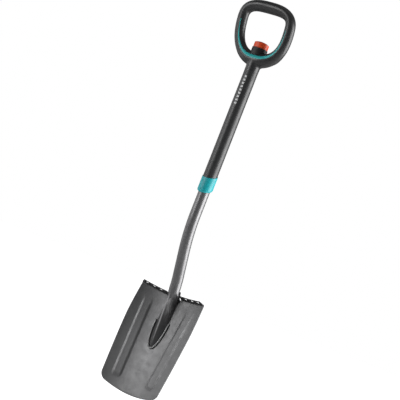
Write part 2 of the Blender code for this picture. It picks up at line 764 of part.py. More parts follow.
def blade_half_width(down):
    """Half width of the blade, widest a little below its treads."""
    if down < WIDEST_AT:
        return BLADE_HALF_WIDTH - TOP_TAPER * ((WIDEST_AT - down) / WIDEST_AT) ** 2
    below = (down - WIDEST_AT) / (BLADE_LENGTH - CORNER_R - WIDEST_AT)
    return BLADE_HALF_WIDTH - LOW_TAPER * below ** LOW_TAPER_POWER


def cutting_edge(x, corner_x):
    """How far down the sheet reaches: a shallow belly with rounded corners."""
    depth = BLADE_LENGTH - x * x / (2.0 * BELLY_R)
    beyond = x - (corner_x - CORNER_R)
    if beyond > 0.0:
        depth -= CORNER_R - math.sqrt(max(0.0, CORNER_R ** 2 - beyond ** 2))
    return depth


def rib_height(x, down):
    """Raised rib, fading in at the top and ending softly near the cutting edge."""
    centre = RIB_X - (down - RIB_TOP) * RIB_CONVERGE
    aside = abs(abs(x) - centre) - (RIB_HALF_WIDTH - RIB_CORNER_R)
    beyond = 0.5 * (down - (RIB_END - RIB_CORNER_R))
    outside = math.hypot(max(0.0, aside), max(0.0, beyond)) - RIB_CORNER_R
    outside += min(0.0, max(aside, beyond))
    start = ease((down - RIB_FADE_START) / RIB_FADE)
    return RIB_HEIGHT * start * ease(0.5 - outside / RIB_WALL)


def fold_start(x):
    """Height of the sheet where the tread's bend begins."""
    bend = math.radians(90.0) - TREAD_RISE
    return -hollow_at(x) * math.tan(TREAD_RISE) + TREAD_BEND_R * math.tan(bend / 2.0)


def tread_path(x):
    """Points (down, forward) from the sheet round the bend and out to the tread's front edge."""
    bend = math.radians(90.0) - TREAD_RISE
    root = hollow_at(x)
    start = fold_start(x)
    points = []
    for i in range(1, 4):
        turn = bend * i / 3
        points.append((start - TREAD_BEND_R * math.sin(turn),
                       root + TREAD_BEND_R * (1.0 - math.cos(turn))))
    flat_from = TREAD_BEND_R * math.tan(bend / 2.0)
    edge = blade_half_width(0.0)
    cut = max(0.0, x - (edge - TREAD_CHAMFER)) / TREAD_CHAMFER
    depth = TREAD_DEPTH - cut * (TREAD_DEPTH - flat_from - 0.8 * MM)
    corner = -root * math.tan(TREAD_RISE)
    for share in (0.5, 1.0):
        out = flat_from + (depth - flat_from) * share
        points.append((corner - out * math.sin(TREAD_RISE), root + out * math.cos(TREAD_RISE)))
    return points


def tongue_columns():
    """Columns (x, rise) across half the tongue, whose sides sweep out into the treads."""
    columns = [(0.0, TONGUE_RISE), (TONGUE_TOP_HALF_WIDTH, TONGUE_RISE)]
    for i in range(5, -1, -1):
        turn = math.radians(90.0) * i / 5
        columns.append((TONGUE_HALF_WIDTH - TONGUE_FILLET_R * math.sin(turn),
                        TONGUE_FILLET_R * (1.0 - math.cos(turn))))
    return columns


def make_blade():
    edge = blade_half_width(0.0)
    corner_x = blade_half_width(BLADE_LENGTH - CORNER_R)
    tongue = tongue_columns()
    outer = []
    plain = edge - CORNER_R - TONGUE_HALF_WIDTH
    for i in range(1, 9):
        outer.append(TONGUE_HALF_WIDTH + plain * i / 8)
    for i in range(1, 6):
        outer.append(edge - CORNER_R + CORNER_R * math.sin(math.radians(90.0) * i / 5))
    columns = [x for x, _ in tongue] + outer
    rows = 16
    shape = bmesh.new()
    grid = []
    for x in columns:
        share = x / edge
        top = fold_start(x)
        bottom = cutting_edge(share * corner_x, corner_x)
        column = []
        for j in range(rows + 1):
            down = top + (bottom - top) * j / rows
            across = share * blade_half_width(down)
            forward = hollow_at(across) + rib_height(across, down)
            column.append(shape.verts.new(blade_frame(across, down, forward)))
        grid.append(column)
    for left, right in zip(grid, grid[1:]):
        for j in range(rows):
            shape.faces.new((left[j], left[j + 1], right[j + 1], right[j]))
    skin_tongue(shape, tongue, grid)
    skin_tread(shape, columns[len(tongue) - 1:], grid[len(tongue) - 1:])
    mesh = bpy.data.meshes.new("blade")
    bmesh.ops.recalc_face_normals(shape, faces=shape.faces)
    shape.to_mesh(mesh)
    shape.free()
    blade = add_object("blade", mesh, "blade_steel")
    mirror = blade.modifiers.new("Mirror", "MIRROR")
    mirror.merge_threshold = 1e-5
    solidify = blade.modifiers.new("Sheet", "SOLIDIFY")
    solidify.thickness = SHEET
    solidify.offset = 0.0
    for i, x in enumerate(TREAD_HOLES_X):
        for side in (-1.0, 1.0):
            root = hollow_at(x)
            place = blade_frame(side * x, 0.0, root + TREAD_HOLE_OUT)
            lift = Vector((0.0, math.sin(BLADE_LEAN), math.cos(BLADE_LEAN))) * 12.0 * MM
            name = f"tread_hole_{i}_{'left' if side < 0.0 else 'right'}"
            boolean(blade, rod_between(name, place - lift, place + lift, TREAD_HOLE_R, sides=12))
    smooth(blade, 40.0)


def skin_tongue(shape, tongue, grid):
    """Carries the middle columns straight up behind the shaft."""
    steps = 3
    previous = None
    for (x, rise), column in zip(tongue, grid):
        top = fold_start(x)
        strip = [column[0]]
        for j in range(1, steps + 1):
            if rise > 0.0:
                strip.append(shape.verts.new(blade_frame(x, top - rise * j / steps, hollow_at(x))))
            else:
                strip.append(column[0])
        if previous:
            for j in range(steps):
                corners = [previous[j], previous[j + 1], strip[j + 1], strip[j]]
                shape.faces.new(list(dict.fromkeys(corners)))
        previous = strip


def skin_tread(shape, columns, grid):
    """Folds the outer columns forward into a tread."""
    previous = None
    for x, column in zip(columns, grid):
        strip = [column[0]]
        strip += [shape.verts.new(blade_frame(x, down, forward)) for down, forward in tread_path(x)]
        if previous:
            for j in range(len(strip) - 1):
                shape.faces.new((previous[j], previous[j + 1], strip[j + 1], strip[j]))
        previous = strip


def make_weld():
    """Weld run round the tube's pressed end, lying in the corner between tube and sheet."""
    steps = 20
    outline = []
    for i in range(steps + 1):
        share = -1.0 + 2.0 * i / steps
        turn = math.radians(90.0) * (1.0 - abs(share))
        down = BEAD_START + (TIP_END - BEAD_START) * math.sin(turn)
        outline.append(Vector((math.copysign(tip_half_width(down), share), down)))
    sections = []
    for i, place in enumerate(outline):
        before = outline[max(i - 1, 0)]
        after = outline[min(i + 1, len(outline) - 1)]
        along = (after - before).normalized()
        outward = Vector((along.y, -along.x))
        if outward.dot(place - Vector((0.0, BEAD_START))) < 0.0:
            outward = -outward
        centre = place + outward * (BEAD_R + 2.0 * GAP)
        ring = []
        for k in range(8):
            turn = 2.0 * math.pi * k / 8
            spot = centre + outward * BEAD_R * math.cos(turn)
            forward = hollow_at(spot.x) + SHEET / 2.0 + 2.0 * GAP + BEAD_R * (1.0 + math.sin(turn))
            ring.append(blade_frame(spot.x, spot.y, forward))
        sections.append(ring)
    smooth(loft("weld_bead", sections, "weld_steel"))


clear_scene()
PART = new_collection("garden_spade")
CUTTERS = new_collection("cutters")
make_grip()
make_inlay()
make_grip_screws()
make_button()
make_rod()
make_spring()
make_carrier()
make_brake()
make_upper_shaft()
make_collar()
make_lower_tube()
make_guide_ring()
make_blade()
make_weld()
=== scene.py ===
"""Looks of a telescopic garden spade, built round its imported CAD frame.

Frame: metres, +Z up along the shaft, the blade's hollow face towards -Y, X across the blade.
Every visible casing, tube and sheet is rebuilt finely round the CAD piece that it replaces, and
the pieces inside keep their CAD meshes and get better materials.
"""

import json
import math

import bmesh
import bpy
from mathutils import Matrix, Vector


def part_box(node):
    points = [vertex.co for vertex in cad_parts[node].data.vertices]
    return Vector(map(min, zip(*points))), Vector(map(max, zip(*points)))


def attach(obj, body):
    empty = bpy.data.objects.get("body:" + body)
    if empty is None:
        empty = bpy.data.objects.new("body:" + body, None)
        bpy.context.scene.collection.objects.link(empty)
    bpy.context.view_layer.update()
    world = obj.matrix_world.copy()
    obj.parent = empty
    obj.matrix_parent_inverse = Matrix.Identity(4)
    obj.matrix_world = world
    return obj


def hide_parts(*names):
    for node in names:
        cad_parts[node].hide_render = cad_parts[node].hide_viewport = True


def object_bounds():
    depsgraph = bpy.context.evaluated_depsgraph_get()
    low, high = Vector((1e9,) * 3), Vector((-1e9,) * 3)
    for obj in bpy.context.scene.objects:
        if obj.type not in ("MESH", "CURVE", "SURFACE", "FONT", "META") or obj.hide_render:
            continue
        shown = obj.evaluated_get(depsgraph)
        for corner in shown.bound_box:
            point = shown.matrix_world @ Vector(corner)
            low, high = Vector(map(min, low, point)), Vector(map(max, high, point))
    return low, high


MM = 0.001
PIECE_GAP = 0.3 * MM
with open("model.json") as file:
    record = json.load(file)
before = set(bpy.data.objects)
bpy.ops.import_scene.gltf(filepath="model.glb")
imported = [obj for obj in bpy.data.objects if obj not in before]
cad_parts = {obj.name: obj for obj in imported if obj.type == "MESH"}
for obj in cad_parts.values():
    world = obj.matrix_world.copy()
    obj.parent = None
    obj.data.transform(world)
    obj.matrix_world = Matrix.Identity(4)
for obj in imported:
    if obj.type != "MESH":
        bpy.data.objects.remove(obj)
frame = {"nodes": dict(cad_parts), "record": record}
CAD_LOW, CAD_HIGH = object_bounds()

# Camera: its direction from the object, its roll, and the point that it looks at
CAMERA_AZIMUTH = math.radians(30.96)
CAMERA_ELEVATION = math.radians(-2.665)
CAMERA_ROLL = math.radians(21.381)
CAMERA_DISTANCE = 3.732
CAMERA_VIEW = math.radians(15.42)
AIM_Z = -501.2 * MM
AIM_ASIDE = -2.39 * MM

# Studio floor, below the blade's tip when the telescope is drawn out
TELESCOPE_TRAVEL = 200.0 * MM
FLOOR_GAP = 2.0 * MM
FLOOR_R = 30.0

# D-grip: outlines as (half width, top, middle, bottom, upper power, lower power)
GRIP_OUTER = (85.1 * MM, 29.3 * MM, -33.0 * MM, -137.6 * MM, 2.73, 2.18)
GRIP_INNER = (57.6 * MM, 0.0, -24.6 * MM, -100.3 * MM, 3.6, 2.73)
GRIP_DEPTH = 14.2 * MM
YOKE_DEPTH = 20.4 * MM
GRIP_LEAN = math.radians(12.4)
GRIP_PIVOT_Z = -108.0 * MM
INLAY_WIDTH = 9.4 * MM
INLAY_TURN = math.radians(15.0)
INLAY_REACH = math.radians(89.0)
SKIN_GRAIN = 0.9 * MM

# Neck under the ring: its profile as (radius, z), and the wells bored in it
NECK_PROFILE = ((19.5 * MM, -102.0 * MM), (20.3 * MM, -106.0 * MM), (20.0 * MM, -114.0 * MM),
                (19.4 * MM, -122.0 * MM), (18.8 * MM, -132.0 * MM), (18.25 * MM, -142.0 * MM))
NECK_END_R = 18.05 * MM
WELL_CLEARANCE = 0.25 * MM
WELL_TOP_Z = -40.0 * MM
WELL_FLOOR_Z = -108.0 * MM
SPIGOT_R = 15.0 * MM
SPIGOT_END_Z = -125.7 * MM
TUBE_BORE_R = 16.8 * MM
BORE_STEP = 0.1 * MM
SCREW_HEAD_WELL_R = 3.7 * MM
SCREW_SHANK_WELL_R = 1.9 * MM
SCREW_SEAT_Y = 17.4 * MM

# Junction of ring and neck, where the skin is smoothed most: distances below the crossbar
MELT_START = 112.0 * MM
MELT_END = 139.0 * MM
MELT_FADE = 8.0 * MM
MELT_IN_FRONT = 0.35
MELT_FRONT_Y = -12.0 * MM
MELT_DEPTH = 18.0 * MM

# Button's socket
ROD_HOLE_R = 3.5 * MM
SPRING_WELL_R = 11.0 * MM
SOCKET_FLOOR = 4.0 * MM

# Sleeve and collar
SLEEVE_R = 18.0 * MM
SLEEVE_ROUNDING = 0.12 * MM
COLLAR_R = 19.4 * MM
COLLAR_LIP_R = 15.0 * MM
COLLAR_TOP_Z = -436.0 * MM
COLLAR_END_Z = -476.0 * MM
COLLAR_STEP = 1.5 * MM
COLLAR_SLANT = math.tan(math.radians(21.0))

# Lower tube: bends as (corner y, corner z, bend radius)
FIRST_BEND = (0.0, -587.3 * MM, 350.0 * MM)
SECOND_BEND = (44.5 * MM, -740.3 * MM, 180.0 * MM)
LOWER_R = 14.5 * MM
TUBE_WALL = 1.4 * MM
TUBE_ABOVE_SHEET = 0.4 * MM
PRESS_START = -8.0 * MM
PRESS_LENGTH = 32.0 * MM
BEND_END = 40.0 * MM
KEEL_START = 26.0 * MM
TIP_END = 146.0 * MM
TIP_HEIGHT = 1.5 * MM
KEEL_CURVE = 1.1
CREST_ROUNDING = 0.14
TIP_SPREAD = 3.0 * MM
BEAD_START = 74.0 * MM
BEAD_R = 2.2 * MM
BEAD_OUT = 2.5 * MM
RIPPLE = 0.05
RIPPLE_LENGTH = 0.45 * MM

# Blade: a pressed sheet hollowed towards the front
SHEET = 1.8 * MM
BLADE_LEAN = math.radians(9.92)
BLADE_Y = 39.9 * MM
BLADE_Z = -745.6 * MM
BLADE_HALF_WIDTH = 100.1 * MM
BLADE_LENGTH = 278.6 * MM
BLADE_HOLLOW = 19.3 * MM
HOLLOW_HALF_WIDTH = 100.0 * MM
WIDEST_AT = 83.0 * MM
TOP_TAPER = 2.7 * MM
LOW_TAPER = 10.9 * MM
LOW_TAPER_POWER = 1.3
CORNER_R = 15.0 * MM
BELLY_R = 300.0 * MM
TREAD_DEPTH = 17.9 * MM
TREAD_RISE = math.radians(16.0)
TREAD_BEND_R = 3.0 * MM
TREAD_CHAMFER = 8.9 * MM
TREAD_HOLES_X = (39.6 * MM, 60.0 * MM, 80.4 * MM)
TREAD_HOLE_OUT = 11.0 * MM
TREAD_HOLE_R = 3.9 * MM
PUNCH_REACH = 12.0 * MM
EDGE_BEVEL = 0.35 * MM
TONGUE_HALF_WIDTH = 19.5 * MM
TONGUE_FILLET_R = 6.5 * MM
TONGUE_TOP_HALF_WIDTH = 8.0 * MM
TONGUE_RISE = 20.0 * MM
RIB_X = 63.6 * MM
RIB_TOP = 60.0 * MM
RIB_CONVERGE = 0.059
RIB_HALF_WIDTH = 11.0 * MM
RIB_WALL = 6.5 * MM
RIB_HEIGHT = 1.5 * MM
RIB_END = 240.0 * MM
RIB_CORNER_R = 4.5 * MM
RIB_FADE_START = 22.0 * MM
RIB_FADE = 45.0 * MM


# ---------------------------------------------------------------- camera, light and floor

def view_axes(azimuth, elevation):
    """Right, up and back vectors of a level view of the object."""
    back = Vector((math.sin(azimuth) * math.cos(elevation),
                   -math.cos(azimuth) * math.cos(elevation),
                   math.sin(elevation)))
    right = Vector((math.cos(azimuth), math.sin(azimuth), 0.0))
    return right, back.cross(right), back


def make_camera():
    right, up, back = view_axes(CAMERA_AZIMUTH, CAMERA_ELEVATION)
    aim = Vector((0.0, 0.0, AIM_Z)) + right * AIM_ASIDE
    cos_r, sin_r = math.cos(CAMERA_ROLL), math.sin(CAMERA_ROLL)
    rolled_right = right * cos_r + up * sin_r
    rolled_up = up * cos_r - right * sin_r
    data = bpy.data.cameras.new("camera")
    data.angle = CAMERA_VIEW
    camera = bpy.data.objects.new("camera", data)
    bpy.context.scene.collection.objects.link(camera)
    place = Matrix((rolled_right, rolled_up, back)).transposed().to_4x4()
    place.translation = aim + back * CAMERA_DISTANCE
    camera.matrix_world = place
    bpy.context.scene.camera = camera


def softbox(name, azimuth, elevation, distance, width, height, radiance, aim_z):
    """A rectangular studio light that faces the shaft at a given height."""
    right, up, back = view_axes(math.radians(azimuth), math.radians(elevation))
    data = bpy.data.lights.new(name, "AREA")
    data.shape = "RECTANGLE"
    data.size = width
    data.size_y = height
    data.energy = radiance * math.pi * width * height
    light = bpy.data.objects.new(name, data)
    bpy.context.scene.collection.objects.link(light)
    place = Matrix((right, up, back)).transposed().to_4x4()
    place.translation = Vector((0.0, 0.0, aim_z)) + back * distance
    light.matrix_world = place


def make_lights():
    """Softboxes: two angles in degrees, distance, width and height in metres, and radiance."""
    middle = (CAD_LOW.z + CAD_HIGH.z) / 2.0
    softbox("right_box", 111.0, 0.0, 2.2, 2.2, 2.5, 5.8, middle)
    softbox("front_left_box", -35.0, 12.0, 2.2, 1.1, 1.0, 4.3, middle)
    softbox("left_box", -80.0, 8.0, 2.2, 2.0, 2.2, 0.85, middle)
    softbox("top_box", 20.0, 78.0, 1.8, 1.6, 1.2, 0.3, CAD_HIGH.z)


def make_world():
    """White to the camera, and a dim even fill to the object."""
    world = bpy.data.worlds.new("studio")
    bpy.context.scene.world = world
    world.use_nodes = True
    tree = world.node_tree
    tree.nodes.clear()
    path = tree.nodes.new("ShaderNodeLightPath")
    fill = tree.nodes.new("ShaderNodeBackground")
    fill.inputs["Color"].default_value = (0.97, 0.985, 1.0, 1.0)
    fill.inputs["Strength"].default_value = 0.16
    white = tree.nodes.new("ShaderNodeBackground")
    white.inputs["Color"].default_value = (1.0, 1.0, 1.0, 1.0)
    mix = tree.nodes.new("ShaderNodeMixShader")
    output = tree.nodes.new("ShaderNodeOutputWorld")
    tree.links.new(path.outputs["Is Camera Ray"], mix.inputs[0])
    tree.links.new(fill.outputs[0], mix.inputs[1])
    tree.links.new(white.outputs[0], mix.inputs[2])
    tree.links.new(mix.outputs[0], output.inputs[0])


def make_floor():
    """A studio floor: white to the camera, and a duller grey in what the object reflects."""
    mesh = bpy.data.meshes.new("floor")
    shape = bmesh.new()
    bmesh.ops.create_circle(shape, cap_ends=True, segments=96, radius=FLOOR_R)
    shape.to_mesh(mesh)
    shape.free()
    floor = bpy.data.objects.new("floor", mesh)
    bpy.context.scene.collection.objects.link(floor)
    floor.location = (0.0, 0.0, CAD_LOW.z - TELESCOPE_TRAVEL - FLOOR_GAP)
    paint = Paint("floor_paper", {"Base Color": (0.86, 0.86, 0.86, 1.0), "Roughness": 0.9})
    distance = paint.add("ShaderNodeVectorMath", operation="LENGTH")
    paint.link(paint.place, distance.inputs[0])
    glow = paint.spread(distance.outputs["Value"], 0.05, 0.45, 0.7, 1.1)
    paint.shader.inputs["Emission Color"].default_value = (1.0, 1.0, 1.0, 1.0)
    paint.link(glow, paint.shader.inputs["Emission Strength"])
    seen = paint.add("ShaderNodeLightPath")
    dim = paint.add("ShaderNodeBsdfDiffuse")
    dim.inputs["Color"].default_value = (0.7, 0.7, 0.7, 1.0)
    mix = paint.add("ShaderNodeMixShader")
    paint.link(seen.outputs["Is Camera Ray"], mix.inputs[0])
    paint.link(dim.outputs[0], mix.inputs[1])
    paint.link(paint.shader.outputs[0], mix.inputs[2])
    paint.link(mix.outputs[0], paint.tree.nodes["Material Output"].inputs["Surface"])
    mesh.materials.append(paint.material)


# ---------------------------------------------------------------- materials

class Paint:
    """A material, with short calls for the nodes that these finishes use."""

    def __init__(self, name, fixed):
        self.material = bpy.data.materials.new(name)
        self.material.use_nodes = True
        self.tree = self.material.node_tree
        self.shader = self.tree.nodes["Principled BSDF"]
        self.place = self.add("ShaderNodeTexCoord").outputs["Object"]
        for socket, value in fixed.items():
            self.shader.inputs[socket].default_value = value

    def add(self, kind, **settings):
        made = self.tree.nodes.new(kind)
        for key, value in settings.items():
            setattr(made, key, value)
        return made

    def link(self, source, target):
        self.tree.links.new(source, target)

    def stretched(self, stretch):
        """Object coordinates, scaled along each axis."""
        mapping = self.add("ShaderNodeMapping")
        mapping.inputs["Scale"].default_value = stretch
        self.link(self.place, mapping.inputs["Vector"])
        return mapping.outputs["Vector"]

    def noise(self, scale, detail=3.0, stretch=(1.0, 1.0, 1.0)):
        texture = self.add("ShaderNodeTexNoise")
        texture.inputs["Scale"].default_value = scale
        texture.inputs["Detail"].default_value = detail
        self.link(self.stretched(stretch), texture.inputs["Vector"])
        return texture.outputs["Fac"]

    def cells(self, scale, stretch=(1.0, 1.0, 1.0)):
        texture = self.add("ShaderNodeTexVoronoi")
        texture.inputs["Scale"].default_value = scale
        self.link(self.stretched(stretch), texture.inputs["Vector"])
        return texture.outputs["Distance"]

    def spread(self, value, from_low, from_high, to_low, to_high):
        """Maps a range of a value onto another, and holds it at the ends."""
        remap = self.add("ShaderNodeMapRange")
        self.link(value, remap.inputs["Value"])
        for name, number in (("From Min", from_low), ("From Max", from_high),
                             ("To Min", to_low), ("To Max", to_high)):
            remap.inputs[name].default_value = number
        return remap.outputs["Result"]

    def calc(self, operation, first, second):
        """Works out one operation on two values, where either may be a plain number."""
        made = self.add("ShaderNodeMath", operation=operation)
        for socket, value in zip(made.inputs, (first, second)):
            if isinstance(value, (int, float)):
                socket.default_value = value
            else:
                self.link(value, socket)
        return made.outputs["Value"]

    def blend(self, factor, first, second):
        """Mixes two colours, where either may be an output of another node."""
        mix = self.add("ShaderNodeMix", data_type="RGBA")
        self.link(factor, mix.inputs["Factor"])
        for socket, colour in ((mix.inputs[6], first), (mix.inputs[7], second)):
            if isinstance(colour, tuple):
                socket.default_value = (*colour, 1.0)
            else:
                self.link(colour, socket)
        return mix.outputs[2]

    def colour(self, output):
        self.link(output, self.shader.inputs["Base Color"])

    def roughness(self, output):
        self.link(output, self.shader.inputs["Roughness"])

    def bump(self, height, depth):
        """Relief of a given depth in metres, on top of any that is there already."""
        made = self.add("ShaderNodeBump")
        made.inputs["Strength"].default_value = 1.0
        made.inputs["Distance"].default_value = depth
        self.link(height, made.inputs["Height"])
        normal = self.shader.inputs["Normal"]
        if normal.is_linked:
            self.link(normal.links[0].from_socket, made.inputs["Normal"])
        self.link(made.outputs["Normal"], normal)


def shade(colour, factor):
    return tuple(min(1.0, channel * factor) for channel in colour)


def moulded(name, colour, roughness, grain_depth=0.006 * MM, shine=0.5, dusting=0.12):
    """Moulded plastic: spark-eroded grain, faint flow marks, and worn and dusty places."""
    paint = Paint(name, {"Specular IOR Level": shine})
    flow = paint.noise(22.0, 4.0, (1.0, 1.0, 0.35))
    base = paint.blend(paint.spread(flow, 0.3, 0.7, 0.0, 1.0), shade(colour, 0.86),
                       shade(colour, 1.12))
    dust = paint.spread(paint.noise(120.0, 8.0), 0.56, 0.78, 0.0, dusting)
    dusty = tuple(0.75 * channel + 0.03 for channel in shade(colour, 1.2))
    paint.colour(paint.blend(dust, base, dusty))
    wear_and_highlight = paint.spread(paint.noise(38.0, 6.0), 0.35, 0.7, roughness + 0.06, roughness - 0.06)
    paint.roughness(wear_and_highlight)
    paint.bump(paint.noise(1500.0, 2.0), grain_depth)
    paint.bump(paint.noise(160.0, 2.0), 0.004 * MM)
    return paint


def sleeve_coat():
    """Satin charcoal coat: orange peel, hairline scuffs along the shaft and a printed mark."""
    colour = COLOURS["sleeve"]
    paint = Paint("sleeve_coat", {"Specular IOR Level": 0.75})
    cloud = paint.noise(16.0, 4.0, (1.0, 1.0, 0.3))
    base = paint.blend(paint.spread(cloud, 0.3, 0.7, 0.0, 1.0), shade(colour, 0.9),
                       shade(colour, 1.1))
    scuff = paint.spread(paint.noise(900.0, 2.0, (1.0, 1.0, 0.012)), 0.66, 0.76, 0.0, 0.25)
    scuffed = paint.blend(scuff, base, shade(colour, 2.4))
    paint.colour(paint.blend(printed_bars(paint), scuffed, (0.8, 0.81, 0.81)))
    paint.roughness(paint.spread(paint.noise(45.0, 5.0), 0.3, 0.7, 0.36, 0.46))
    paint.bump(paint.noise(620.0, 3.0), 0.006 * MM)
    paint.bump(scuff, -0.004 * MM)
    return paint.material


def printed_bars(paint):
    """Mask of a plain printed row of short bars down the sleeve's front."""
    split = paint.add("ShaderNodeSeparateXYZ")
    paint.link(paint.place, split.inputs[0])
    x, y, z = split.outputs
    front = paint.calc("LESS_THAN", y, 0.0)
    narrow = paint.calc("LESS_THAN", paint.calc("ABSOLUTE", x, 0.0), PRINT_HALF_WIDTH)
    upper = paint.calc("LESS_THAN", z, PRINT_TOP)
    lower = paint.calc("GREATER_THAN", z, PRINT_END)
    phase = paint.calc("FRACT", paint.calc("DIVIDE", z, PRINT_PITCH), 0.0)
    bar = paint.calc("LESS_THAN", phase, PRINT_SHARE)
    mask = front
    for part in (narrow, upper, lower, bar):
        mask = paint.calc("MULTIPLY", mask, part)
    worn = paint.spread(paint.noise(500.0, 4.0), 0.5, 0.8, 0.95, 0.7)
    return paint.calc("MULTIPLY", mask, worn)


def shaft_steel():
    """Gunmetal lacquer over drawn steel, with sliding marks along the tube.

    Below the blade's fold the tube is darkened as painted shade, and its crest carries a painted
    highlight.
    """
    paint = Paint("shaft_steel", {"Metallic": 0.65})
    base = COLOURS["shaft"]
    cloud = paint.spread(paint.noise(14.0, 4.0, (1.0, 1.0, 0.25)), 0.3, 0.7, 0.0, 1.0)
    tone = paint.blend(cloud, shade(base, 0.88), shade(base, 1.1))
    drawn = paint.noise(1300.0, 2.0, (1.0, 1.0, 0.006))
    line = paint.spread(drawn, 0.6, 0.8, 0.0, 0.2)
    down = blade_down(paint)
    # Painted shade: the tube's pressed end below the fold is darkened towards 0.35 of its base
    # colour.
    shaded_end = paint.blend(paint.spread(down, 0.0, 0.08, 0.0, 0.8), tone, shade(base, 0.35))
    lacquer = paint.blend(line, shaded_end, shade(base, 1.3))
    # Painted highlight: the pointed crest of the pressed end is lightened to three times the base
    # colour.
    crest = paint.add("ShaderNodeNewGeometry").outputs["Pointiness"]
    wear_and_highlight = paint.calc("MULTIPLY", paint.spread(crest, 0.508, 0.53, 0.0, 0.8),
                        paint.spread(down, 0.0, 0.06, 0.0, 1.0))
    paint.colour(paint.blend(wear_and_highlight, lacquer, shade(base, 3.0)))
    paint.roughness(paint.spread(paint.noise(60.0, 5.0), 0.3, 0.7, 0.33, 0.4))
    paint.bump(drawn, 0.0015 * MM)
    paint.bump(paint.noise(300.0, 2.0), 0.003 * MM)
    return paint.material


def blade_down(paint):
    """How far down the blade a point lies, from 0 at the fold line to 1 at the cutting edge."""
    offset = paint.add("ShaderNodeVectorMath", operation="SUBTRACT")
    paint.link(paint.place, offset.inputs[0])
    offset.inputs[1].default_value = (0.0, BLADE_Y, BLADE_Z)
    along = paint.add("ShaderNodeVectorMath", operation="DOT_PRODUCT")
    paint.link(offset.outputs["Vector"], along.inputs[0])
    along.inputs[1].default_value = (0.0, -math.sin(BLADE_LEAN), -math.cos(BLADE_LEAN))
    return paint.spread(along.outputs["Value"], 0.0, BLADE_LENGTH, 0.0, 1.0)


def blade_steel():
    """Satin dark steel: rolled grain down the sheet, fine speckle, and two darker places.

    The sheet is darkened at its top as painted shade under the treads, and along the cutting edge as
    painted shade on the sheet's thickness.
    """
    paint = Paint("blade_steel", {"Metallic": 1.0})
    base = COLOURS["blade"]
    cloud = paint.spread(paint.noise(9.0, 5.0), 0.3, 0.7, 0.0, 1.0)
    tone = paint.blend(cloud, shade(base, 0.9), shade(base, 1.1))
    grain = paint.noise(1500.0, 3.0, (1.0, 1.0, 0.02))
    down = blade_down(paint)
    # Painted shade: the sheet is darkened at its top, under the treads, fading out towards its
    # middle.
    shaded_top = paint.blend(paint.spread(down, 0.0, 0.6, 0.45, 0.0), tone, shade(base, 0.45))
    grained = paint.blend(paint.spread(grain, 0.35, 0.65, 0.0, 0.6), shaded_top, shade(base, 1.2))
    speckle = paint.spread(paint.noise(2100.0, 2.0), 0.6, 0.72, 0.0, 0.3)
    spotted = paint.blend(speckle, grained, shade(base, 0.55))
    # Painted shade: a dark line along the cutting edge, where the sheet's thickness lies in shadow.
    ragged = paint.calc("ADD", down, paint.spread(paint.noise(60.0, 6.0), 0.0, 1.0, -0.008, 0.008))
    edge = paint.spread(ragged, 0.975, 0.995, 0.0, 0.5)
    paint.colour(paint.blend(edge, spotted, shade(base, 0.35)))
    paint.roughness(paint.spread(paint.noise(70.0, 6.0), 0.3, 0.7, 0.4, 0.52))
    paint.bump(grain, 0.008 * MM)
    paint.bump(paint.noise(260.0, 3.0), 0.015 * MM)
    return paint.material


def plain_metal(name, colour, roughness):
    """Drawn or turned bright metal, with fine rings and a little tarnish."""
    paint = Paint(name, {"Metallic": 1.0})
    tarnish = paint.spread(paint.noise(90.0, 6.0), 0.35, 0.75, 0.0, 0.5)
    paint.colour(paint.blend(tarnish, colour, shade(colour, 0.72)))
    rings = paint.noise(1800.0, 2.0, (0.02, 0.02, 1.0))
    paint.roughness(paint.spread(rings, 0.3, 0.7, roughness - 0.06, roughness + 0.08))
    paint.bump(rings, 0.004 * MM)
    return paint.material


def rubber():
    """Matt black rubber with a bloom on its surface."""
    paint = Paint("brake_rubber", {"Specular IOR Level": 0.35})
    bloom = paint.spread(paint.noise(150.0, 6.0), 0.4, 0.75, 0.0, 0.5)
    paint.colour(paint.blend(bloom, (0.02, 0.02, 0.021), (0.06, 0.06, 0.058)))
    paint.roughness(paint.spread(paint.noise(80.0, 4.0), 0.3, 0.7, 0.75, 0.92))
    paint.bump(paint.noise(1400.0, 2.0), 0.02 * MM)
    return paint.material


COLOURS = {
    "grip": (0.02, 0.0205, 0.0215),
    "inlay": (0.03, 0.52, 0.52),
    "button": (1.0, 0.09, 0.012),
    "housing": (0.012, 0.012, 0.013),
    "sleeve": (0.02, 0.0205, 0.0215),
    "collar": (0.004, 0.45, 0.5),
    "bearing": (0.55, 0.55, 0.53),
    "shaft": (0.2, 0.198, 0.202),
    "blade": (0.185, 0.185, 0.187),
}
PRINT_TOP = -166.0 * MM
PRINT_END = -244.0 * MM
PRINT_PITCH = 9.0 * MM
PRINT_HALF_WIDTH = 3.2 * MM
PRINT_SHARE = 0.55


def make_materials():
    """Every finish, by the record's material slot."""
    return {
        "grip_plastic": moulded("grip_plastic", COLOURS["grip"], 0.35, shine=0.65).material,
        "inlay_plastic": moulded("inlay_plastic", COLOURS["inlay"], 0.4, 0.003 * MM,
                                 dusting=0.05).material,
        "button_plastic": moulded("button_plastic", COLOURS["button"], 0.38, 0.003 * MM,
                                  dusting=0.02).material,
        "housing_plastic": moulded("housing_plastic", COLOURS["housing"], 0.5).material,
        "sleeve_plastic": sleeve_coat(),
        "collar_plastic": moulded("collar_plastic", COLOURS["collar"], 0.42, 0.0004 * MM, 0.6,
                                  0.04).material,
        "bearing_plastic": moulded("bearing_plastic", COLOURS["bearing"], 0.45).material,
        "shaft_steel": shaft_steel(),
        "blade_steel": blade_steel(),
        "weld_steel": plain_metal("weld_steel", (0.4, 0.4, 0.4), 0.4),
        "tube_aluminium": plain_metal("tube_aluminium", (0.62, 0.63, 0.65), 0.34),
        "fastener_steel": plain_metal("fastener_steel", (0.55, 0.56, 0.55), 0.3),
        "brake_rubber": rubber(),
    }


# ---------------------------------------------------------------- mesh tools

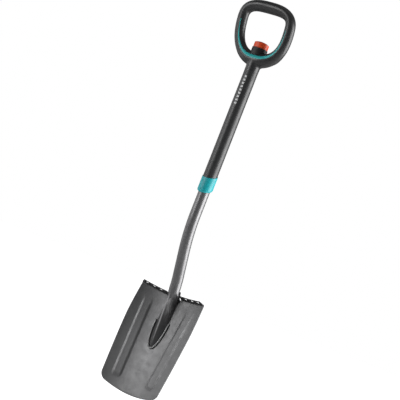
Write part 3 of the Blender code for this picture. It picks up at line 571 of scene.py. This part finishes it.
def link(name, mesh):
    made = bpy.data.objects.new(name, mesh)
    bpy.context.scene.collection.objects.link(made)
    return made


def finish_piece(made, node, body, sharp=35.0):
    """Gives a fine piece its shading, finish and body, and hides the CAD node that it replaces."""
    made.data.shade_smooth()
    made.data.set_sharp_from_angle(angle=math.radians(sharp))
    slot = SLOT_OF[node]
    made.data.materials.clear()
    made.data.materials.append(LOOKS[slot])
    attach(made, body)
    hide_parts(node)
    return made


def evaluated(made):
    """Applies an object's modifiers."""
    bpy.context.view_layer.update()
    graph = bpy.context.evaluated_depsgraph_get()
    mesh = bpy.data.meshes.new_from_object(made.evaluated_get(graph))
    made.modifiers.clear()
    made.data = mesh
    return made


def cut(made, other, operation="DIFFERENCE"):
    """Cuts or joins one object with another, and removes the other."""
    modifier = made.modifiers.new("Boolean", "BOOLEAN")
    modifier.operation = operation
    modifier.solver = "EXACT"
    modifier.object = other
    evaluated(made)
    bpy.data.objects.remove(other, do_unlink=True)
    return made


def loft(name, sections, closed=False):
    """Skins equal rings of points, and fills the two end rings unless the loft closes on itself."""
    shape = bmesh.new()
    rings = [[shape.verts.new(point) for point in section] for section in sections]
    count = len(rings[0])
    pairs = list(zip(rings, rings[1:]))
    if closed:
        pairs.append((rings[-1], rings[0]))
    for first, second in pairs:
        for i in range(count):
            j = (i + 1) % count
            shape.faces.new((first[i], first[j], second[j], second[i]))
    if not closed:
        shape.faces.new(rings[0])
        shape.faces.new(rings[-1])
    bmesh.ops.recalc_face_normals(shape, faces=shape.faces)
    mesh = bpy.data.meshes.new(name)
    shape.to_mesh(mesh)
    shape.free()
    return link(name, mesh)


def circle(radius, z, steps):
    return [(radius * math.cos(2.0 * math.pi * i / steps),
             radius * math.sin(2.0 * math.pi * i / steps), z) for i in range(steps)]


def turned(name, profile, steps=96):
    """A solid turned about Z from a profile of (radius, z). Radii are above zero."""
    return loft(name, [circle(radius, z, steps) for radius, z in profile])


def turned_ring(name, profile, steps=96):
    """A ring turned about Z from a closed profile of (radius, z)."""
    return loft(name, [circle(radius, z, steps) for radius, z in profile], closed=True)


def rounded(profile, radius, steps=4):
    """Rounds every corner of a closed profile that has room for the radius."""
    points = []
    count = len(profile)
    for i, corner in enumerate(profile):
        corner = Vector(corner)
        before = Vector(profile[i - 1]) - corner
        after = Vector(profile[(i + 1) % count]) - corner
        reach = min(radius, before.length * 0.45, after.length * 0.45)
        start = corner + before.normalized() * reach
        end = corner + after.normalized() * reach
        for k in range(steps + 1):
            share = k / steps
            point = start.lerp(corner, share).lerp(corner.lerp(end, share), share)
            points.append((point.x, point.y))
    return points


# ---------------------------------------------------------------- grip

def outline_point(outline, angle):
    """Point (x, z) of a rounded outline that is squarer above its middle than below."""
    width, top, middle, bottom, upper, lower = outline
    cos_a, sin_a = math.cos(angle), math.sin(angle)
    power = 2.0 / (upper if sin_a > 0.0 else lower)
    height = top - middle if sin_a > 0.0 else middle - bottom
    x = width * math.copysign(abs(cos_a) ** power, cos_a)
    z = middle + height * math.copysign(abs(sin_a) ** power, sin_a)
    return x, z


def ring_section(angle):
    """Centre and radial half vector of the grip ring's section, both as (x, z)."""
    outer_x, outer_z = outline_point(GRIP_OUTER, angle)
    inner_x, inner_z = outline_point(GRIP_INNER, angle)
    centre = ((outer_x + inner_x) / 2.0, (outer_z + inner_z) / 2.0)
    radial = ((outer_x - inner_x) / 2.0, (outer_z - inner_z) / 2.0)
    return centre, radial


def ring_depth(angle):
    """The ring is deeper where it meets the neck."""
    low = max(0.0, -math.sin(angle))
    return GRIP_DEPTH + (YOKE_DEPTH - GRIP_DEPTH) * low ** 6


def leaned(x, y, z):
    """The grip leans forward above its neck."""
    return x, y - max(0.0, z - GRIP_PIVOT_Z) * math.tan(GRIP_LEAN), z


def grip_point(angle, turn, grow=0.0):
    """Point on the ring's skin: turn runs round the section from its outer side."""
    (centre_x, centre_z), (radial_x, radial_z) = ring_section(angle)
    scale = 1.0 + grow / math.hypot(radial_x, radial_z)
    across = math.cos(turn) * scale
    y = math.sin(turn) * (ring_depth(angle) + grow)
    return leaned(centre_x + radial_x * across, y, centre_z + radial_z * across)


def even_angles(steps):
    """Ring angles that share out the outline's length evenly."""
    fine = 2000
    angles = [2.0 * math.pi * i / fine for i in range(fine + 1)]
    points = [Vector(ring_section(angle)[0]) for angle in angles]
    lengths = [0.0]
    for first, second in zip(points, points[1:]):
        lengths.append(lengths[-1] + (second - first).length)
    chosen = []
    k = 0
    for i in range(steps):
        target = lengths[-1] * i / steps
        while lengths[k + 1] < target:
            k += 1
        share = (target - lengths[k]) / (lengths[k + 1] - lengths[k])
        chosen.append(angles[k] + share * (angles[k + 1] - angles[k]))
    return chosen


def make_grip():
    """Ring and neck blended into one moulding, then bored for the button and grooved."""
    turns = [2.0 * math.pi * k / 56 for k in range(56)]
    ring = loft("grip_shell", [[grip_point(angle, turn) for turn in turns]
                               for angle in even_angles(260)], closed=True)
    neck_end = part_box("upper_sleeve")[1].z + PIECE_GAP
    neck = turned("neck", [*NECK_PROFILE, (NECK_END_R, neck_end - 6.0 * MM)], 72)
    cut(ring, neck, "UNION")
    remesh = ring.modifiers.new("Remesh", "REMESH")
    remesh.mode = "VOXEL"
    remesh.voxel_size = SKIN_GRAIN
    relax = ring.modifiers.new("Smooth", "SMOOTH")
    relax.factor = 0.5
    relax.iterations = 10
    evaluated(ring)
    melt_junction(ring)
    beyond = 2.0 * NECK_END_R
    cut(ring, turned("neck_end", [(beyond, neck_end + BORE_STEP), (beyond, neck_end - beyond)]))
    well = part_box("button_housing")[1].x + WELL_CLEARANCE
    spigot_bore = SPIGOT_R + PIECE_GAP
    cut(ring, turned("button_well", [(well, WELL_TOP_Z), (well, WELL_FLOOR_Z),
                                     (spigot_bore, WELL_FLOOR_Z - BORE_STEP),
                                     (spigot_bore, SPIGOT_END_Z),
                                     (TUBE_BORE_R, SPIGOT_END_Z - BORE_STEP),
                                     (TUBE_BORE_R, neck_end - beyond)]))
    cut(ring, loft("inlay_groove", inlay_sections(0.15 * MM, 1.9 * MM, 6.0 * MM)))
    for node in ("grip_screw_1", "grip_screw_2"):
        low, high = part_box(node)
        cut(ring, screw_pocket(low, high))
    return finish_piece(ring, "grip_body", "handle", 42.0)


def melt_junction(grip):
    """Softens the corner between ring and neck to a broad fillet, mostly at the back."""
    group = grip.vertex_groups.new(name="junction")
    for vertex in grip.data.vertices:
        down = -vertex.co.z
        weight = ease((down - MELT_START) / MELT_FADE) * ease((MELT_END - down) / MELT_FADE)
        behind = ease((vertex.co.y - MELT_FRONT_Y) / MELT_DEPTH)
        weight *= MELT_IN_FRONT + (1.0 - MELT_IN_FRONT) * behind
        if weight > 0.0:
            group.add([vertex.index], weight, "REPLACE")
    melt = grip.modifiers.new("Melt", "SMOOTH")
    melt.vertex_group = "junction"
    melt.factor = 0.5
    melt.iterations = 260
    evaluated(grip)


def screw_pocket(low, high):
    """Round pocket for a screw's head in the back of the neck, and the hole for its shank."""
    pocket = turned("pocket", [(SCREW_HEAD_WELL_R, 30.0 * MM),
                               (SCREW_HEAD_WELL_R, SCREW_SEAT_Y),
                               (SCREW_SHANK_WELL_R, SCREW_SEAT_Y - BORE_STEP),
                               (SCREW_SHANK_WELL_R, 4.0 * MM)], 48)
    pocket.rotation_euler = (math.radians(-90.0), 0.0, 0.0)
    pocket.location = (0.0, 0.0, (low.z + high.z) / 2.0)
    return pocket


def inlay_half_width(along):
    """The strip thins out towards both ends, along running from -1 to 1."""
    return INLAY_WIDTH / 2.0 * max(0.16, 1.0 - 0.75 * abs(along) - 0.2 * abs(along) ** 3)


def inlay_sections(grow, inside, outside, crown=0.0):
    """Sections of the strip along the front of the ring, a little to its inner side."""
    steps = 150
    sections = []
    for i in range(steps + 1):
        along = -1.0 + 2.0 * i / steps
        angle = math.radians(270.0) + along * INLAY_REACH
        _, (radial_x, radial_z) = ring_section(angle)
        spread = (inlay_half_width(along) + grow) / math.hypot(radial_x, radial_z)
        front = -math.pi / 2.0 - INLAY_TURN
        section = [grip_point(angle, front - spread, -inside),
                   grip_point(angle, front + spread, -inside)]
        for share in (1.0, 0.8, 0.4, 0.0, -0.4, -0.8, -1.0):
            lift = outside + crown * (1.0 - share ** 4)
            section.append(grip_point(angle, front + spread * share, lift))
        sections.append(section)
    return sections


def make_inlay():
    strip = loft("grip_strip", inlay_sections(0.0, 1.6 * MM, -0.1 * MM, 0.35 * MM))
    return finish_piece(strip, "grip_inlay", "handle", 50.0)


# ---------------------------------------------------------------- button

def make_button():
    """Domed cap on its skirt, with a boss inside that takes the push rod."""
    low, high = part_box("button_cap")
    radius = high.x
    top, end = high.z, low.z
    outside = [(0.3 * MM, top), (6.0 * MM, top - 0.35 * MM), (11.5 * MM, top - 1.4 * MM),
               (15.5 * MM, top - 2.7 * MM), (radius - 1.0 * MM, top - 3.9 * MM),
               (radius - 0.25 * MM, top - 4.5 * MM), (radius, top - 5.4 * MM),
               (radius, top - 8.0 * MM), (radius, end + 0.4 * MM), (radius - 0.4 * MM, end)]
    inside = [(radius - 2.0 * MM, end), (radius - 2.0 * MM, top - 8.0 * MM),
              (6.2 * MM, top - 7.0 * MM), (6.2 * MM, end), (3.3 * MM, end),
              (3.3 * MM, top - 7.9 * MM), (0.3 * MM, top - 7.9 * MM)]
    cap = turned("thumb_button", smooth_profile(outside, 4) + inside, 96)
    return finish_piece(cap, "button_cap", "release_button", 38.0)


def smooth_profile(points, steps):
    """Catmull-Rom curve through the points of a profile."""
    found = []
    for i in range(len(points) - 1):
        p0 = Vector(points[max(i - 1, 0)])
        p1, p2 = Vector(points[i]), Vector(points[i + 1])
        p3 = Vector(points[min(i + 2, len(points) - 1)])
        for k in range(steps):
            t = k / steps
            point = 0.5 * ((2.0 * p1) + (p2 - p0) * t + (2.0 * p0 - 5.0 * p1 + 4.0 * p2 - p3) * t * t
                           + (3.0 * p1 - p0 - 3.0 * p2 + p3) * t * t * t)
            found.append((point.x, point.y))
    found.append(tuple(points[-1]))
    return found


def make_housing():
    """Socket that the button sinks into, with a spigot below it that holds the spring."""
    low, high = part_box("button_housing")
    radius, rim, end = high.x, high.z, low.z
    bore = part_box("button_cap")[1].x + PIECE_GAP
    seat = WELL_FLOOR_Z + PIECE_GAP
    floor = end + SOCKET_FLOOR
    profile = [(radius, rim), (radius, seat), (SPIGOT_R, seat), (SPIGOT_R, end),
               (ROD_HOLE_R, end), (ROD_HOLE_R, floor), (SPRING_WELL_R, floor),
               (SPRING_WELL_R, seat + 5.0 * MM), (bore, seat + 6.0 * MM), (bore, rim)]
    housing = turned_ring("button_socket", rounded(profile, 0.5 * MM))
    return finish_piece(housing, "button_housing", "handle")


# ---------------------------------------------------------------- shafts

def make_sleeve():
    low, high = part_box("upper_sleeve")
    profile = [(SLEEVE_R, high.z), (SLEEVE_R, low.z), (TUBE_BORE_R, low.z), (TUBE_BORE_R, high.z)]
    sleeve = turned_ring("shaft_sleeve", rounded(profile, SLEEVE_ROUNDING), 128)
    return finish_piece(sleeve, "upper_sleeve", "handle")


def make_collar():
    """End collar with slanted ends, rounded where it narrows onto the lower tube."""
    radius, top, end = COLLAR_R, COLLAR_TOP_Z, COLLAR_END_Z
    bore = SLEEVE_R + PIECE_GAP
    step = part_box("upper_tube")[0].z - COLLAR_STEP
    # (radius, z, share of the slant)
    profile = [(radius - 0.5 * MM, top, 1.0), (radius - 0.15 * MM, top - 0.15 * MM, 1.0),
               (radius, top - 0.6 * MM, 1.0), (radius, end + 5.5 * MM, 1.0),
               (radius - 0.35 * MM, end + 3.4 * MM, 1.0), (radius - 1.1 * MM, end + 1.7 * MM, 1.0),
               (radius - 2.2 * MM, end + 0.5 * MM, 1.0), (radius - 3.2 * MM, end, 1.0),
               (COLLAR_LIP_R, end + 0.1 * MM, 1.0), (COLLAR_LIP_R, step, 0.0),
               (bore, step, 0.0), (bore, top, 1.0)]
    sections = []
    for r, z, share in profile:
        ring = circle(r, z, 96)
        sections.append([(x, y, level + y * COLLAR_SLANT * share) for x, y, level in ring])
    collar = loft("end_collar", sections, closed=True)
    return finish_piece(collar, "collar", "handle")


def blade_frame(x, down, forward):
    """World point of a place on the leaning blade: down its length, forward of its side edges."""
    cos_l, sin_l = math.cos(BLADE_LEAN), math.sin(BLADE_LEAN)
    return Vector((x, BLADE_Y - forward * cos_l - down * sin_l,
                   BLADE_Z + forward * sin_l - down * cos_l))


def hollow_at(x):
    """The sheet's middle surface, measured forward of the blade's side edges."""
    return -BLADE_HOLLOW * (1.0 - (x / HOLLOW_HALF_WIDTH) ** 2)


def bend_points(corner, radius, before, after, steps):
    """Arc that rounds a corner between two directions."""
    angle = before.angle(after)
    reach = radius * math.tan(angle / 2.0)
    start = corner - before * reach
    inward = (after - before * before.dot(after)).normalized()
    centre = start + inward * radius
    points = []
    for i in range(steps + 1):
        turn = angle * i / steps
        points.append(centre - inward * radius * math.cos(turn) + before * radius * math.sin(turn))
    return points


def ease(value):
    """Smooth step from 0 to 1."""
    value = min(1.0, max(0.0, value))
    return value * value * (3.0 - 2.0 * value)


def down_of(point):
    """How far down the blade a point lies."""
    return ((BLADE_Y - point.y) * math.sin(BLADE_LEAN)
            + (BLADE_Z - point.z) * math.cos(BLADE_LEAN))


def tip_half_width(down):
    """Half width of the tube's pressed end: it spreads a little, then closes in a round tip."""
    spread = LOWER_R + TIP_SPREAD * ease(down / BEAD_START)
    closing = max(0.0, (down - BEAD_START) / (TIP_END - BEAD_START))
    return spread * math.sqrt(max(0.0, 1.0 - closing ** 2))


def tube_section(down):
    """The tube's section at a place on the blade: half width, front, back, set back, pressed.

    The round tube is pressed to a keel whose foot lies on the sheet and whose crest runs down
    to the sheet at the tip.
    """
    pressed = ease((down - PRESS_START) / PRESS_LENGTH)
    sunk = max(0.0, (down - KEEL_START) / (TIP_END - KEEL_START))
    height = 2.0 * LOWER_R - (2.0 * LOWER_R - TIP_HEIGHT) * sunk ** KEEL_CURVE
    level = min(LOWER_R * (1.0 - 0.9 * pressed), 0.5 * height)
    width = max(0.4 * MM, tip_half_width(down))
    return width, height - level, level, LOWER_R - level, pressed


def bore_section(_):
    """The bore's section, which is the same all the way down."""
    bore = LOWER_R - TUBE_WALL
    return bore, bore, bore, 0.0, 0.0


def lower_path():
    """Line of the round tube's middle, from its top end down to the tip.

    The last stretch stops just short of a quarter turn, so that no two rings fall together.
    """
    straight = Vector((0.0, 0.0, -1.0))
    first = Vector((0.0, FIRST_BEND[0], FIRST_BEND[1]))
    second = Vector((0.0, SECOND_BEND[0], SECOND_BEND[1]))
    middle = (second - first).normalized()
    along_blade = Vector((0.0, -math.sin(BLADE_LEAN), -math.cos(BLADE_LEAN)))
    path = [Vector((0.0, 0.0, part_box("lower_tube")[1].z))]
    path += bend_points(first, FIRST_BEND[2], straight, middle, 20)
    path += bend_points(second, SECOND_BEND[2], middle, along_blade, 40)
    front = hollow_at(0.0) + SHEET / 2.0 + TUBE_ABOVE_SHEET + LOWER_R
    steps = 70
    for i in range(steps + 1):
        turn = math.radians(88.5) * i / steps
        down = BEND_END + (TIP_END - BEND_END) * math.sin(turn)
        path.append(blade_frame(0.0, down, front))
    return path


def keel(across):
    """Height of two flat flanks under a rounded crest, from 1 at the middle to 0 at each side."""
    rounding = CREST_ROUNDING
    return 1.0 - (math.hypot(across, rounding) - rounding) / (math.hypot(1.0, rounding) - rounding)


def path_sections(path, section_of, steps=96):
    """Rings square to the path, which stays in the plane X = 0."""
    sections = []
    side = Vector((1.0, 0.0, 0.0))
    for i, point in enumerate(path):
        ahead = path[min(i + 1, len(path) - 1)]
        behind = path[max(i - 1, 0)]
        rearward = side.cross((ahead - behind).normalized())
        width, front, back, set_back, pressed = section_of(down_of(point))
        ring = []
        for k in range(steps):
            turn = 2.0 * math.pi * k / steps
            across, deep = math.cos(turn), back * math.sin(turn)
            if deep < 0.0:
                deep = front * (math.sin(turn) * (1.0 - pressed) - keel(across) * pressed)
            ring.append(point + side * width * across + rearward * (set_back + deep))
        sections.append(ring)
    return sections


def make_lower_tube():
    """Bent tube, bored down to where the press begins."""
    path = lower_path()
    outside = path_sections(path, tube_section)
    bore = [point for point in path if down_of(point) < PRESS_START]
    inside = path_sections(bore, bore_section)
    tube = loft("bent_tube", list(reversed(inside)) + outside)
    return finish_piece(tube, "lower_tube", "lower", 50.0)


def make_bead():
    """Weld run round the tube's flattened end, with the ripples of a hand-laid bead."""
    steps = 240
    outline = []
    for i in range(steps + 1):
        share = -1.0 + 2.0 * i / steps
        turn = math.radians(90.0) * (1.0 - abs(share))
        down = BEAD_START + (TIP_END - BEAD_START) * math.sin(turn)
        width = tip_half_width(down)
        outline.append(Vector((math.copysign(width, share), down)))
    ring_steps = 20
    middle = Vector((0.0, 100.0 * MM))
    sections = []
    travelled = 0.0
    for i, place in enumerate(outline):
        before = outline[max(i - 1, 0)]
        after = outline[min(i + 1, len(outline) - 1)]
        along = (after - before).normalized()
        travelled += (place - before).length
        ripple = 1.0 + RIPPLE * math.sin(travelled / RIPPLE_LENGTH)
        from_end = min(i, steps - i)
        size = BEAD_R * ripple * min(1.0, 0.5 + from_end / 4.0)
        outward = Vector((-along.y, along.x))
        if outward.dot(place - middle) < 0.0:
            outward = -outward
        centre = place + outward * BEAD_OUT
        ring = []
        for k in range(ring_steps):
            turn = 2.0 * math.pi * k / ring_steps
            spot = centre + outward * size * math.cos(turn)
            forward = hollow_at(spot.x) + SHEET / 2.0 + PIECE_GAP + size + size * math.sin(turn)
            ring.append(blade_frame(spot.x, spot.y, forward))
        sections.append(ring)
    bead = loft("weld_run", sections)
    return finish_piece(bead, "weld_bead", "lower", 60.0)


# ---------------------------------------------------------------- blade

def blade_half_width(down):
    """Half width of the blade, widest a little below its treads."""
    if down < WIDEST_AT:
        return BLADE_HALF_WIDTH - TOP_TAPER * ((WIDEST_AT - down) / WIDEST_AT) ** 2
    below = (down - WIDEST_AT) / (BLADE_LENGTH - CORNER_R - WIDEST_AT)
    return BLADE_HALF_WIDTH - LOW_TAPER * below ** LOW_TAPER_POWER


def cutting_edge(x, corner_x):
    """How far down the sheet reaches: a shallow belly with rounded corners."""
    depth = BLADE_LENGTH - x * x / (2.0 * BELLY_R)
    beyond = x - (corner_x - CORNER_R)
    if beyond > 0.0:
        depth -= CORNER_R - math.sqrt(max(0.0, CORNER_R ** 2 - beyond ** 2))
    return depth


def rib_height(x, down):
    """Raised rib, fading in at the top and ending softly near the cutting edge."""
    centre = RIB_X - (down - RIB_TOP) * RIB_CONVERGE
    aside = abs(abs(x) - centre) - (RIB_HALF_WIDTH - RIB_CORNER_R)
    beyond = 0.5 * (down - (RIB_END - RIB_CORNER_R))
    outside = math.hypot(max(0.0, aside), max(0.0, beyond)) - RIB_CORNER_R
    outside += min(0.0, max(aside, beyond))
    start = ease((down - RIB_FADE_START) / RIB_FADE)
    return RIB_HEIGHT * start * ease(0.5 - outside / RIB_WALL)


def fold_start(x):
    """Height of the sheet where the tread's bend begins."""
    bend = math.radians(90.0) - TREAD_RISE
    return -hollow_at(x) * math.tan(TREAD_RISE) + TREAD_BEND_R * math.tan(bend / 2.0)


def tread_path(x):
    """Points (down, forward) from the sheet round the bend and out to the tread's front edge."""
    bend = math.radians(90.0) - TREAD_RISE
    root = hollow_at(x)
    start = fold_start(x)
    points = []
    steps = 8
    for i in range(1, steps + 1):
        turn = bend * i / steps
        points.append((start - TREAD_BEND_R * math.sin(turn),
                       root + TREAD_BEND_R * (1.0 - math.cos(turn))))
    flat_from = TREAD_BEND_R * math.tan(bend / 2.0)
    edge = blade_half_width(0.0)
    cut_back = max(0.0, x - (edge - TREAD_CHAMFER)) / TREAD_CHAMFER
    depth = TREAD_DEPTH - cut_back * (TREAD_DEPTH - flat_from - 0.8 * MM)
    corner = -root * math.tan(TREAD_RISE)
    flat_steps = 6
    for i in range(1, flat_steps + 1):
        out = flat_from + (depth - flat_from) * i / flat_steps
        points.append((corner - out * math.sin(TREAD_RISE), root + out * math.cos(TREAD_RISE)))
    return points


def tongue_columns(steps):
    """Columns (x, rise) across half the tongue, whose sides sweep out into the treads."""
    columns = [(0.0, TONGUE_RISE), (TONGUE_TOP_HALF_WIDTH, TONGUE_RISE)]
    for i in range(steps, -1, -1):
        turn = math.radians(90.0) * i / steps
        columns.append((TONGUE_HALF_WIDTH - TONGUE_FILLET_R * math.sin(turn),
                        TONGUE_FILLET_R * (1.0 - math.cos(turn))))
    return columns


def make_blade():
    """Half the sheet as a grid with tongue and tread, mirrored, thickened and punched."""
    edge = blade_half_width(0.0)
    corner_x = blade_half_width(BLADE_LENGTH - CORNER_R)
    tongue = tongue_columns(12)
    columns = [x for x, _ in tongue]
    plain = edge - CORNER_R - TONGUE_HALF_WIDTH
    plain_steps = 44
    for i in range(1, plain_steps + 1):
        columns.append(TONGUE_HALF_WIDTH + plain * i / plain_steps)
    corner_steps = 14
    for i in range(1, corner_steps + 1):
        turn = math.radians(90.0) * i / corner_steps
        columns.append(edge - CORNER_R + CORNER_R * math.sin(turn))
    rows = 150
    shape = bmesh.new()
    grid = []
    for x in columns:
        share = x / edge
        top = fold_start(x)
        bottom = cutting_edge(share * corner_x, corner_x)
        column = []
        for j in range(rows + 1):
            down = top + (bottom - top) * j / rows
            across = share * blade_half_width(down)
            forward = hollow_at(across) + rib_height(across, down)
            column.append(shape.verts.new(blade_frame(across, down, forward)))
        grid.append(column)
    for left, right in zip(grid, grid[1:]):
        for j in range(rows):
            shape.faces.new((left[j], left[j + 1], right[j + 1], right[j]))
    skin_tongue(shape, tongue, grid)
    skin_tread(shape, columns[len(tongue) - 1:], grid[len(tongue) - 1:])
    bmesh.ops.recalc_face_normals(shape, faces=shape.faces)
    mesh = bpy.data.meshes.new("blade_sheet")
    shape.to_mesh(mesh)
    shape.free()
    blade = link("blade_sheet", mesh)
    mirror = blade.modifiers.new("Mirror", "MIRROR")
    mirror.merge_threshold = 0.01 * MM
    solidify = blade.modifiers.new("Sheet", "SOLIDIFY")
    solidify.thickness = SHEET
    solidify.offset = 0.0
    bevel = blade.modifiers.new("Bevel", "BEVEL")
    bevel.width = EDGE_BEVEL
    bevel.segments = 2
    bevel.angle_limit = math.radians(50.0)
    evaluated(blade)
    for x in TREAD_HOLES_X:
        for side in (-1.0, 1.0):
            cut(blade, tread_hole(side * x))
    return finish_piece(blade, "blade", "lower", 40.0)


def tread_hole(x):
    """Punch that goes down through the tread."""
    place = blade_frame(x, 0.0, hollow_at(x) + TREAD_HOLE_OUT)
    punch = turned("punch", [(TREAD_HOLE_R, PUNCH_REACH), (TREAD_HOLE_R, -PUNCH_REACH)], 40)
    up = Vector((0.0, math.sin(BLADE_LEAN), math.cos(BLADE_LEAN)))
    turn = Vector((0.0, 0.0, 1.0)).rotation_difference(up).to_matrix().to_4x4()
    punch.matrix_world = Matrix.Translation(place) @ turn
    return punch


def skin_tongue(shape, tongue, grid):
    """Carries the middle columns straight up behind the shaft."""
    steps = 10
    previous = None
    for (x, rise), column in zip(tongue, grid):
        top = fold_start(x)
        strip = [column[0]]
        for j in range(1, steps + 1):
            if rise > 0.0:
                strip.append(shape.verts.new(blade_frame(x, top - rise * j / steps, hollow_at(x))))
            else:
                strip.append(column[0])
        if previous:
            for j in range(steps):
                corners = [previous[j], previous[j + 1], strip[j + 1], strip[j]]
                shape.faces.new(list(dict.fromkeys(corners)))
        previous = strip


def skin_tread(shape, columns, grid):
    """Folds the outer columns forward into a tread."""
    previous = None
    for x, column in zip(columns, grid):
        strip = [column[0]]
        strip += [shape.verts.new(blade_frame(x, down, forward)) for down, forward in tread_path(x)]
        if previous:
            for j in range(len(strip) - 1):
                shape.faces.new((previous[j], previous[j + 1], strip[j + 1], strip[j]))
        previous = strip


# ---------------------------------------------------------------- inner pieces

def dress_cad_nodes():
    """Gives every CAD piece its finish; those that stay visible keep their own meshes."""
    for name, node in frame["nodes"].items():
        node.data.materials.clear()
        node.data.materials.append(LOOKS[SLOT_OF[name]])
        node.data.shade_smooth()
        node.data.set_sharp_from_angle(angle=math.radians(35.0))


SLOT_OF = {part["node"]: part["material_slot"] for part in frame["record"]["subparts"]}
bpy.context.scene.view_settings.view_transform = "Standard"
make_camera()
make_world()
make_lights()
make_floor()
LOOKS = make_materials()
dress_cad_nodes()
make_grip()
make_inlay()
make_button()
make_housing()
make_sleeve()
make_collar()
make_lower_tube()
make_bead()
make_blade()
